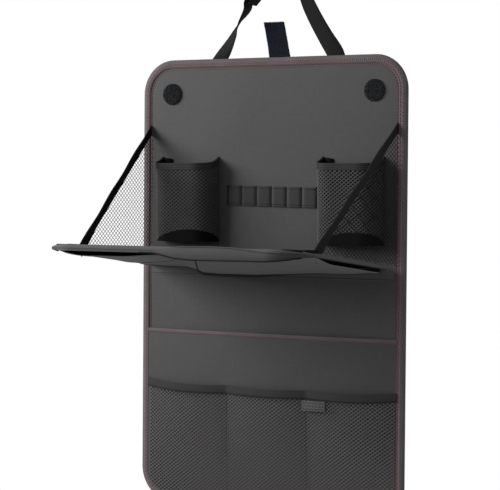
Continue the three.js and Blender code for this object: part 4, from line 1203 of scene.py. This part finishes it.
def tray_outline(inset):
    """Points round the tray as (x, reach), with its two front corners rounder than the rear ones."""
    far, near = TRAY_SETBACK + TRAY_LENGTH, TRAY_SETBACK
    corners = [
        (TRAY_WIDTH / 2 - TRAY_REAR_CORNER, near + TRAY_REAR_CORNER, TRAY_REAR_CORNER, -math.pi / 2),
        (TRAY_WIDTH / 2 - TRAY_FRONT_CORNER, far - TRAY_FRONT_CORNER, TRAY_FRONT_CORNER, 0),
        (-(TRAY_WIDTH / 2 - TRAY_FRONT_CORNER), far - TRAY_FRONT_CORNER, TRAY_FRONT_CORNER, math.pi / 2),
        (-(TRAY_WIDTH / 2 - TRAY_REAR_CORNER), near + TRAY_REAR_CORNER, TRAY_REAR_CORNER, math.pi),
    ]
    points = []
    for k, (x, reach, radius, begin) in enumerate(corners):
        r = radius - inset
        for i in range(CORNER_STEPS + 1):
            angle = begin + math.pi / 2 * i / CORNER_STEPS
            points.append((x + r * math.cos(angle), reach + r * math.sin(angle)))
        nx, nreach, nradius, nbegin = corners[(k + 1) % 4]
        goal = (nx + (nradius - inset) * math.cos(nbegin), nreach + (nradius - inset) * math.sin(nbegin))
        ax, ay = points[-1]
        count = max(2, int(math.dist((ax, ay), goal) / 9))
        for i in range(1, count):
            points.append((ax + (goal[0] - ax) * i / count, ay + (goal[1] - ay) * i / count))
    return points


# %% Tray covers and binding


def thinned(x, reach):
    """How thick the rim is there: the tape is drawn tight round the two front corners."""
    far = TRAY_SETBACK + TRAY_LENGTH
    round_it = eased((reach - far + TRAY_FRONT_CORNER + 20) / 40) * eased((abs(x) - TRAY_WIDTH / 2 + 40) / 30)
    return 1 - 0.55 * round_it


def side_share(x):
    """How much of its lower half the rim keeps: towards the right side it is pulled thin from below."""
    return 1 - 0.42 * eased((x - 140) / 45)


def pinched(x, reach, height):
    """A height on the rim after the thinning of its corners and its right side."""
    share = side_share(x) if height < 0 else 1
    return height * thinned(x, reach) * share


def cover(name, inner, outer, side, finish, node):
    """A flat cover with the tray's outline: two rings and a cap on each. side is 1 above the board and -1 below."""
    rings = [[tray_point(x, reach, side * max(1.3, abs(pinched(x, reach, side * h)))) for x, reach in tray_outline(1.1)]
             for h in (inner, outer)]
    piece = swept(name, rings, False, 0.001, 1.2, finish)
    put(piece, TRAY, "leatherette", node)
    return piece


cover("tray_top_cloth", 1.55, TRAY_FACE, 1, tray_leather, "tray_top_cover")
cover("tray_under_cloth", 1.55, TRAY_FACE, -1, tray_leather, "tray_bottom_cover")
TRAY_SECTION = [
    (11.0, 3.2), (10.6, 3.4), (7.0, 3.5), (3.0, 3.42), (1.2, 3.1), (0.3, 2.2), (0.0, 0.9), (0.0, -0.9), (0.3, -2.2),
    (1.2, -3.1), (3.0, -3.42), (7.0, -3.5), (10.6, -3.4), (11.0, -3.2), (11.0, -2.65), (1.6, -2.6), (0.9, -2.0),
    (0.8, 0.0), (0.9, 2.0), (1.6, 2.6), (11.0, 2.65),
]
rows = [[tray_point(x, reach, pinched(x, reach, height)) for x, reach in tray_outline(inset)]
        for inset, height in TRAY_SECTION]
tray_binding = swept("tray_edge_tape", [[row[k] for row in rows] for k in range(len(rows[0]))], True, 1.2, 0.04,
                     tray_tape)
put(tray_binding, TRAY, "binding_tape", "tray_edge_binding")
top_run = [tray_point(x, reach, pinched(x, reach, 3.1)) for x, reach in tray_outline(9)]
seam("tray_top_seam", top_run, red_thread, TRAY, "binding_tape", True, thread=0.8)

# %% Sleeve and lip
SLEEVE_HALF = 185
SLEEVE_REAR = 22
SLEEVE_FRONT = 258
SLEEVE_GAPE = 5
SLEEVE_HEM = 6
SAG_LEAN = 125
SAG_ACROSS = [-200, -110, -96, -84, -60, 0, 43, 71, 93, 190, 340]
SAG_DROPS = [2.4, 2.6, 6.2, 9.6, 10.8, 10.6, 8.6, 6.9, 6.0, 4.8, 4.8]
HEM_HANG = 3.6
SIDE_GAP = 5.4
CREASE_REACH = 81
CREASE_SLOPE = 0.73
CREASE_WIDE = 8
CREASE_DEEP = 1.2
LIP_LEAST = 1.4
LIP_DROOP = 7.8
LIP_ACROSS = [-16, 2, 14, 38, 70, 110, 150, 158, 170, 180, 190]
LIP_SHARES = [0, 0.44, 0.76, 1, 0.98, 0.92, 0.92, 0.98, 1.0, 0.65, 0]
LIP_TOP_ACROSS = [-16, 14, 66, 101, 139, 160, 188]
LIP_TOPS = [-2.6, 3.2, 4.2, 3.2, -0.5, -1.2, -2.6]


def tray_half(reach, inset):
    """Half the tray's width at a distance from the hinge, less at its round front corners."""
    over = np.maximum(0, reach - (TRAY_SETBACK + TRAY_LENGTH - TRAY_FRONT_CORNER))
    radius = TRAY_FRONT_CORNER - inset
    return TRAY_WIDTH / 2 - TRAY_FRONT_CORNER + np.sqrt(np.maximum(0, radius * radius - over * over))


def sleeve_drop(x, reach):
    """How far the slung sheet hangs under the tray's middle.

    It sags most along its rear, left of the middle, and the sag leans to the right towards the front. It
    gapes at the front's left part, and along the right side."""
    share = (reach - SLEEVE_REAR) / (SLEEVE_FRONT - SLEEVE_REAR)
    from_side = eased((SLEEVE_HALF - np.abs(x)) / 60)
    gape = SLEEVE_GAPE * share * share * (1 - 0.75 * eased((x + 75) / 60)) * from_side
    sag = np.interp(x - SAG_LEAN * share, SAG_ACROSS, SAG_DROPS) * eased((1 - share) / 0.75)
    sag = sag * np.where(x < 0, from_side ** 0.3, 1)
    side_gap = SIDE_GAP * eased((0.88 - share) / 0.25) * eased((x - 120) / 60)
    folds = 0.7 * from_side * eased(share / 0.1) * (1 + np.sin(reach / 13 + x / 70) * np.cos(x / 55))
    off_crease = (reach - CREASE_REACH - CREASE_SLOPE * (x + SLEEVE_HALF)) / CREASE_WIDE
    crease = CREASE_DEEP * np.exp(-off_crease * off_crease) * eased((-15 - x) / 40) * from_side ** 0.3
    rim = (TRAY_RIM + 0.3) * side_share(x)
    return rim + gape + folds + crease + np.maximum(sag, side_gap)


def slung(first, last, thick):
    def place(u, v, side):
        reach = first + (last - first) * v
        x = (u * 2 - 1) * np.minimum(SLEEVE_HALF, tray_half(reach, 4))
        return tray_point(x, reach, -(sleeve_drop(x, reach) + side * thick) * thinned(x, reach))
    return place


# Its lighter leatherette is painted light on an underside that gets little light.
sleeve = sheet("tray_sleeve_cloth", 120, 60, slung(SLEEVE_REAR + SLEEVE_HEM, SLEEVE_FRONT, 0.9), (0.375, 0.231),
               sleeve_leather_painted_light)
put(sleeve, TRAY, "leatherette", "tray_sleeve")


def hem_hang(x):
    """How far the hem hangs under the slung sheet, most where the sag is deepest."""
    return 1.6 + HEM_HANG * eased((x + 98) / 18) * eased((70 - x) / 90)


def hem_place(u, v, side):
    """The rear hem, sewn up to the tray's rim and down over the slung sheet's edge."""
    reach = SLEEVE_REAR + SLEEVE_HEM * v
    x = (u * 2 - 1) * SLEEVE_HALF
    drop = np.where(side == 1, sleeve_drop(x, reach) + hem_hang(x), (TRAY_RIM + 0.3) * side_share(x))
    return tray_point(x, reach, -drop)


def on_sleeve(x, reach, below):
    """A point under the slung sheet."""
    return tray_point(x, reach, -float(sleeve_drop(x, reach)) - below)


def painted_edge_line(name, points, thread, finish=None):
    """Stitches so close that they run together, laid as a line along an edge: painted shade, and in one place a painted
    highlight.
    """
    seam(name, points, finish or dark_thread, TRAY, "binding_tape", pitch=3.0, length=3.9, thread=thread)


sleeve_hem = sheet("tray_sleeve_edge", 120, 4, hem_place, (0.375, 0.006), net_hem_cloth)
put(sleeve_hem, TRAY, "binding_tape", "tray_sleeve_hem")
hem_front = SLEEVE_REAR + SLEEVE_HEM
hem_run = [on_sleeve(x, hem_front, 0.4 + 0.5 * float(hem_hang(x))) for x in np.linspace(-183, 183, 140)]
seam("sleeve_hem_seam", hem_run, dark_thread, TRAY, "binding_tape", thread=0.7)
# A dark line along the left edge of the sag is painted shade in the fold there.
fold_shade_run = []
for step_share in np.linspace(0.02, 0.97, 60):
    fold_reach = SLEEVE_REAR + (SLEEVE_FRONT - SLEEVE_REAR) * step_share
    fold_shade_run.append(on_sleeve(-91 + SAG_LEAN * step_share, fold_reach, 1.0))
painted_edge_line("sleeve_fold_painted_shade", fold_shade_run, 1.9)
# A thin dark line along the crease on the left is painted shade in that crease.
crease_shade_run = []
for x in np.linspace(-118, -22, 40):
    crease_shade_run.append(on_sleeve(x, CREASE_REACH + CREASE_SLOPE * (x + SLEEVE_HALF), 0.9))
painted_edge_line("sleeve_crease_painted_shade", crease_shade_run, 0.9)


def lip_path(share):
    """Along the tray's front edge, a quarter turn, the straight front and a quarter turn, as (x, reach)."""
    far = TRAY_SETBACK + TRAY_LENGTH
    inner, radius = TRAY_WIDTH / 2 - TRAY_FRONT_CORNER, TRAY_FRONT_CORNER - 1.5
    quarter, straight = math.pi / 2 * radius, 2 * inner
    run = share * (2 * quarter + straight)
    if run <= quarter:
        angle = run / radius
        return -inner - radius * math.cos(angle), far - TRAY_FRONT_CORNER + radius * math.sin(angle)
    if run <= quarter + straight:
        return -inner + run - quarter, far - TRAY_FRONT_CORNER + radius
    x, reach = lip_path(1 - share)
    return -x, reach


def lip_rule(u, v, side):
    """The lip lies on the rim's front and droops most in the middle."""
    x, reach = lip_path(u)
    share = float(np.interp(x, LIP_ACROSS, LIP_SHARES))
    top = float(np.interp(x, LIP_TOP_ACROSS, LIP_TOPS))
    bottom = -(TRAY_RIM + 0.3) - LIP_LEAST - LIP_DROOP * share
    swell = 0.9 * math.sin(math.pi * v) * share
    height = top + (bottom - top) * v
    height = height * side_share(x) if x > 0 and height < 0 else height * thinned(x, reach)
    return tray_point(x, reach + 1.7 + swell + (side - 0.5) * 1.0, height)


# Its darker leatherette is painted shade.
lip = sheet("tray_lip_cloth", 120, 8, pointwise(lip_rule), (0.4, 0.01), lip_leather_painted_shade)
put(lip, TRAY, "leatherette", "tray_front_lip")


def lip_edge(v, first, last):
    """A line along the lip between two shares of its length. v is 0 at its top and 1 at its bottom."""
    return [lip_rule(share, v, 1.6) for share in np.linspace(first, last, 90)]


# A dark line along the lip's lower edge: painted shade where the lip meets the slung sheet.
painted_edge_line("lip_lower_painted_shade", lip_edge(1.0, 0.42, 0.93), 2.2)
# A light line along the lip's top edge: a painted highlight.
painted_edge_line("lip_upper_painted_highlight", lip_edge(0.0, 0.55, 0.87), 1.5, edge_tape)

# %% [markdown]
# ## The gussets
# A gusset is a net triangle between the panel's edge and the tray's side, taped along its long edge. When the tray
# shuts, the triangle folds along the line from its heel to the middle of the tape. Each half is a piece of its own: the
# rear half moves with the panel, and the front half with the tray.
# %% Gusset sizes
GUSSET_TOP = 223
GUSSET_EDGE = 191.5
GUSSET_FOOT_X = 172.3
GUSSET_REACH = 206
GUSSET_TAPE = 11
GUSSET_FLARE = 16
HINGE_STAND_OFF = 12.35
GUSSET_HOLE = (9.4, 6.1)
GUSSET_THREAD = 0.45


def gusset_corners(sign):
    heel = Vector(tray_point(sign * GUSSET_EDGE, 1.2 - HINGE_STAND_OFF, TRAY_RIM + 0.3))
    toe = Vector(tray_point(sign * GUSSET_FOOT_X, GUSSET_REACH, TRAY_RIM + 0.3))
    top = Vector((sign * GUSSET_EDGE, heel.y, GUSSET_TOP))
    return heel, toe, top


def tape_piece(name, top, toe, heel, from_share, to_share, thick, finish):
    """The tape along the long edge, from one share of its length to another."""
    along = (toe - top).normalized()
    inward = (heel - top) - (heel - top).dot(along) * along
    inward.normalize()
    across = along.cross(inward).normalized()

    def place(u, v, side):
        share = from_share + (to_share - from_share) * u
        edge = np.array(top)[None, :] + np.outer(share, np.array(toe - top))
        width = GUSSET_TAPE + (GUSSET_FLARE - GUSSET_TAPE) * np.clip((share - 0.8) / 0.2, 0, 1)
        wander = 0.8 * np.sin(share * 19)
        point = edge + (np.outer(v * width + wander * (1 - v), np.array(inward))
                        + (side - 0.5) * thick * np.array(across))
        return point[:, 0], point[:, 1], point[:, 2]

    return sheet(name, 60, 4, place, ((toe - top).length * MM * (to_share - from_share), 0.012), finish)


for side, sign in (("left", -1), ("right", 1)):
    heel, toe, top = gusset_corners(sign)
    mid = (top + toe) / 2
    up = (top - heel).normalized()
    out = (toe - heel) - (toe - heel).dot(up) * up
    out.normalize()
    tall, toe_out, toe_up = (top - heel).length, (toe - heel).dot(out), (toe - heel).dot(up)
    mid_out, mid_up = (mid - heel).dot(out), (mid - heel).dot(up)
    long = Vector((toe_out, toe_up - tall)).normalized()
    normal = Vector((long.y, -long.x))

    def below_tape(a, b):
        return a * normal.x + (b - tall) * normal.y

    def past_fold(a, b):
        return (b * mid_out - a * mid_up) / math.hypot(mid_out, mid_up)

    def in_rear(a, b):
        return below_tape(a, b) > GUSSET_TAPE - 2 and past_fold(a, b) >= -GUSSET_HOLE[1] / 2

    def in_front(a, b):
        return (below_tape(a, b) > GUSSET_TAPE - 2 and past_fold(a, b) <= GUSSET_HOLE[1] / 2
                and b * toe_out >= a * toe_up)

    def lay(a, b):
        return heel + out * a + up * b

    rear = net(f"{side}_gusset_rear", toe_out, tall, GUSSET_HOLE, lay, in_rear, GUSSET_THREAD, gusset_thread)
    put(rear, BACK, "netting", f"{side}_gusset_net")
    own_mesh(rear)
    fore = net(f"{side}_gusset_front", toe_out, tall, GUSSET_HOLE, lay, in_front, GUSSET_THREAD, gusset_thread)
    put(fore, TRAY, "netting", f"{side}_gusset_net")
    tray_seat = [c * MM for c in tray_point(0, 100, TRAY_RIM)]
    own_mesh(fore)
    # The right side gets the lighter copy of the tape, its painted sheen.
    tape_cloth = gusset_webbing if sign < 0 else sheen_painted_webbing
    rear_tape = tape_piece(f"{side}_gusset_tape_rear", top, toe, heel, 0, 0.5, 1.6, tape_cloth)
    put(rear_tape, BACK, "webbing", f"{side}_gusset_tape")
    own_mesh(rear_tape)
    fore_tape = tape_piece(f"{side}_gusset_tape_front", top, toe, heel, 0.5, 1, 1.6, tape_cloth)
    put(fore_tape, TRAY, "webbing", f"{side}_gusset_tape")
    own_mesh(fore_tape)
    foot = sheet(f"{side}_gusset_foot_tape", 4, 20, lambda u, v, face: tray_point(
        sign * (GUSSET_FOOT_X + 5.2) + (u - 0.5) * 9, GUSSET_REACH + 3 + 34 * v, TRAY_RIM + 0.4 + face * (4 - 2.5 * v)),
        (0.009, 0.034), gusset_webbing)
    put(foot, TRAY, "webbing", f"{side}_foot_tape")

# %% [markdown]
# ## The hinge strip
# The tray turns on a strip of cloth, sewn flat to the panel and under the tray's rear edge, so it bends between the two
# bodies. A pin joint would leave a gap there. Here the strip is one sheet in its resting shape.
# %% Hinge strip
HINGE_HALF = 189
under = -(TRAY_RIM + 0.3)
near, far = tray_point(0, 3, under), tray_point(0, 16, under)
face = SHEET_FRONT - 0.3
strip_line = [
    (face, HINGE_HEIGHT - 18), (face, near[2] - 8), (face - 0.6, near[2] - 3.4),
    (face - 2.4, near[2] - 1.2), (face - 5, near[2] - 0.3), (near[1], near[2]), (far[1], far[2]),
]


def strip_rule(u, v, side):
    at = v * (len(strip_line) - 1)
    k = min(int(at), len(strip_line) - 2)
    (ay, az), (by, bz) = strip_line[k], strip_line[k + 1]
    long = math.hypot(by - ay, bz - az)
    ny, nz = (bz - az) / long, -(by - ay) / long
    y, z = ay + (by - ay) * (at - k), az + (bz - az) * (at - k)
    return (u * 2 - 1) * HINGE_HALF, y - side * 0.9 * ny, z - side * 0.9 * nz


hinge = sheet("tray_hinge_cloth", 60, 24, pointwise(strip_rule), (0.378, 0.045), tray_leather)
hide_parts("hinge_tape")
[c * MM for c in near]
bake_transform(hinge)
runs = [(x, face - 1.1, HINGE_HEIGHT - 16) for x in np.linspace(-187, 187, 100)]
seam("hinge_seam", runs, dark_thread, BACK, "leatherette", thread=0.8)

# %% [markdown]
# ## Straps, ring and tab
# Webbing is a flat ribbon that turns about its own length. Each strap is drawn along a smooth line, with
# the turn of its width given at the same points, and goes round a plain ring. A bevelled curve could do
# it too, but giving the turn point by point holds the twist where the real strap has it.
# %% Ribbon
WEBBING_WIDTH = 25
WEBBING_THICK = 1.4
PANEL_TOP = PANEL_HEIGHT / 2
DEPTH = -3.95


def smooth_through(points, count):
    """Points along a centripetal Catmull-Rom curve through the given ones, with the turn carried along."""
    rows = np.array(points, float)
    rows = np.vstack([2 * rows[0] - rows[1], rows, 2 * rows[-1] - rows[-2]])
    result = []
    for share in np.linspace(0, len(points) - 1, count + 1):
        k = min(int(share), len(points) - 2)
        p0, p1, p2, p3 = rows[k:k + 4]
        gaps = [max(1e-6, np.linalg.norm((b - a)[:3])) ** 0.5 for a, b in ((p0, p1), (p1, p2), (p2, p3))]
        t0, t1 = 0.0, gaps[0]
        t2, t3 = t1 + gaps[1], t1 + gaps[1] + gaps[2]
        t = t1 + (t2 - t1) * (share - k)
        a1 = p0 + (p1 - p0) * (t - t0) / (t1 - t0)
        a2 = p1 + (p2 - p1) * (t - t1) / (t2 - t1)
        a3 = p2 + (p3 - p2) * (t - t2) / (t3 - t2)
        b1 = a1 + (a2 - a1) * (t - t0) / (t2 - t0)
        b2 = a2 + (a3 - a2) * (t - t1) / (t3 - t1)
        result.append(b1 + (b2 - b1) * (t - t1) / (t2 - t1))
    return np.array(result)


def ribbon(name, points, width, thick, finish, count=140, level_to=0):
    """Webbing along a smooth line. Up to the height level_to its width stays level, as in its slot."""
    path = smooth_through(points, count)
    rings = []
    for k, row in enumerate(path):
        tangent = Vector(path[min(k + 1, count)][:3] - path[max(k - 1, 0)][:3]).normalized()
        turn = math.radians(row[3])
        wide = Vector((math.cos(turn), math.sin(turn), 0))
        square = float(eased((row[2] - level_to) / 25))
        wide = (wide - square * wide.dot(tangent) * tangent).normalized()
        deep = tangent.cross(wide).normalized()
        section = [(-1, -0.6), (-0.97, -1), (-0.5, -1), (0, -1), (0.5, -1), (0.97, -1), (1, -0.6),
                   (1, 0.6), (0.97, 1), (0.5, 1), (0, 1), (-0.5, 1), (-0.97, 1), (-1, 0.6)]
        rings.append([Vector(row[:3]) + wide * (a * width / 2) + deep * (b * thick / 2) for a, b in section])
    length = sum(np.linalg.norm(b[:3] - a[:3]) for a, b in zip(path, path[1:]))
    return swept(name, rings, False, length * MM, 2 * width * MM, finish)


# %% Strap routes
RING_MIDDLE = Vector((-16, -19, 401))
RING_LEAN = math.radians(40)
RING_ALONG = Vector((math.sin(RING_LEAN), 0, math.cos(RING_LEAN)))
RING_OUT = Vector((math.cos(RING_LEAN), 0, -math.sin(RING_LEAN)))
RING_BAR = 4
BAR_AT = 7
LEFT_FOOT = -80.5
RIGHT_FOOT = 97.6
WRAP = RING_BAR / 2 + 0.6 + WEBBING_THICK


def by_ring(along, out):
    return (*(RING_MIDDLE + RING_ALONG * along + RING_OUT * out), -90)


def round_bar(bar_at, way, begin):
    turns = [begin * (math.pi / 2 - math.pi * i / 4) for i in range(5)]
    return [by_ring(bar_at + way * WRAP * math.cos(t), WRAP * math.sin(t)) for t in turns]


left_route = [
    (LEFT_FOOT - 7, DEPTH, PANEL_TOP - 10, 0), (LEFT_FOOT - 3.5, DEPTH, PANEL_TOP - 4, 0),
    (LEFT_FOOT + 1.5, DEPTH, PANEL_TOP + 3, -2), (LEFT_FOOT + 16.5, -5.5, PANEL_TOP + 25, -32),
    (LEFT_FOOT + 35, -13.5, PANEL_TOP + 48, -63), (LEFT_FOOT + 49, -17, PANEL_TOP + 66, -84),
    by_ring(-BAR_AT - 9, -WRAP * 0.8), *round_bar(-BAR_AT, 1, -1), by_ring(-BAR_AT - 5, WRAP),
    by_ring(-BAR_AT - 9, WRAP * 0.9),
]
right_route = [
    (RIGHT_FOOT + 3.6, DEPTH, PANEL_TOP - 10, 0), (RIGHT_FOOT + 2, DEPTH, PANEL_TOP - 4, 0),
    (RIGHT_FOOT - 0.6, DEPTH, PANEL_TOP + 3, 0), (RIGHT_FOOT - 14, -5, PANEL_TOP + 24, -8),
    (RIGHT_FOOT - 29, -7.5, PANEL_TOP + 50, -14), (RIGHT_FOOT - 42, -10, PANEL_TOP + 77, -22),
    (RIGHT_FOOT - 52, -14.5, PANEL_TOP + 108, -52), (RIGHT_FOOT - 59, -18.5, PANEL_TOP + 138, -82),
    (RIGHT_FOOT - 68, -19, PANEL_TOP + 158, -90), (RIGHT_FOOT - 83, -19, PANEL_TOP + 163, -90),
    (RIGHT_FOOT - 96, -19, PANEL_TOP + 150, -90), (RIGHT_FOOT - 103, -19, PANEL_TOP + 122, -90),
    by_ring(BAR_AT + 9, -WRAP * 0.8), *round_bar(BAR_AT, -1, -1), by_ring(BAR_AT + 8, WRAP),
    by_ring(BAR_AT + 17, WRAP * 0.9),
]
put(ribbon("left_strap_webbing", left_route, WEBBING_WIDTH, WEBBING_THICK, strap_webbing,
           level_to=PANEL_TOP + 25), BACK, "webbing", "left_strap")
put(ribbon("right_strap_webbing", right_route, WEBBING_WIDTH, WEBBING_THICK, strap_webbing, 200), BACK, "webbing",
    "right_strap")
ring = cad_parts["strap_ring"]
ring.data.materials.clear()
ring.data.materials.append(ring_plastic)

# %% Centre tab
TAB_FOOT = 12.4
TAB_WIDTH = 31
TAB_TALL = 48
TAB_LEAN = -8.2


def tab_rule(u, v, side):
    rise = v * (TAB_TALL + 12) - 12
    lean = np.maximum(0, rise / TAB_TALL)
    flare = 1 + 0.04 * np.maximum(0, 1 - lean * 4)
    x = TAB_FOOT + (u - 0.5) * TAB_WIDTH * flare + TAB_LEAN * lean
    return x, DEPTH - 2.5 * lean * lean + (side - 0.5) * 1.5, PANEL_TOP + rise


centre_tab = sheet("centre_hook_strip", 20, 40, tab_rule, (0.031, 0.06), tab_fuzz)
centre_tab = grown(centre_tab, pile_tree, Density=5e5, Tuft=0.0005, Finish=tab_fuzz)
put(centre_tab, BACK, "hook_and_loop", "centre_hook_tab")
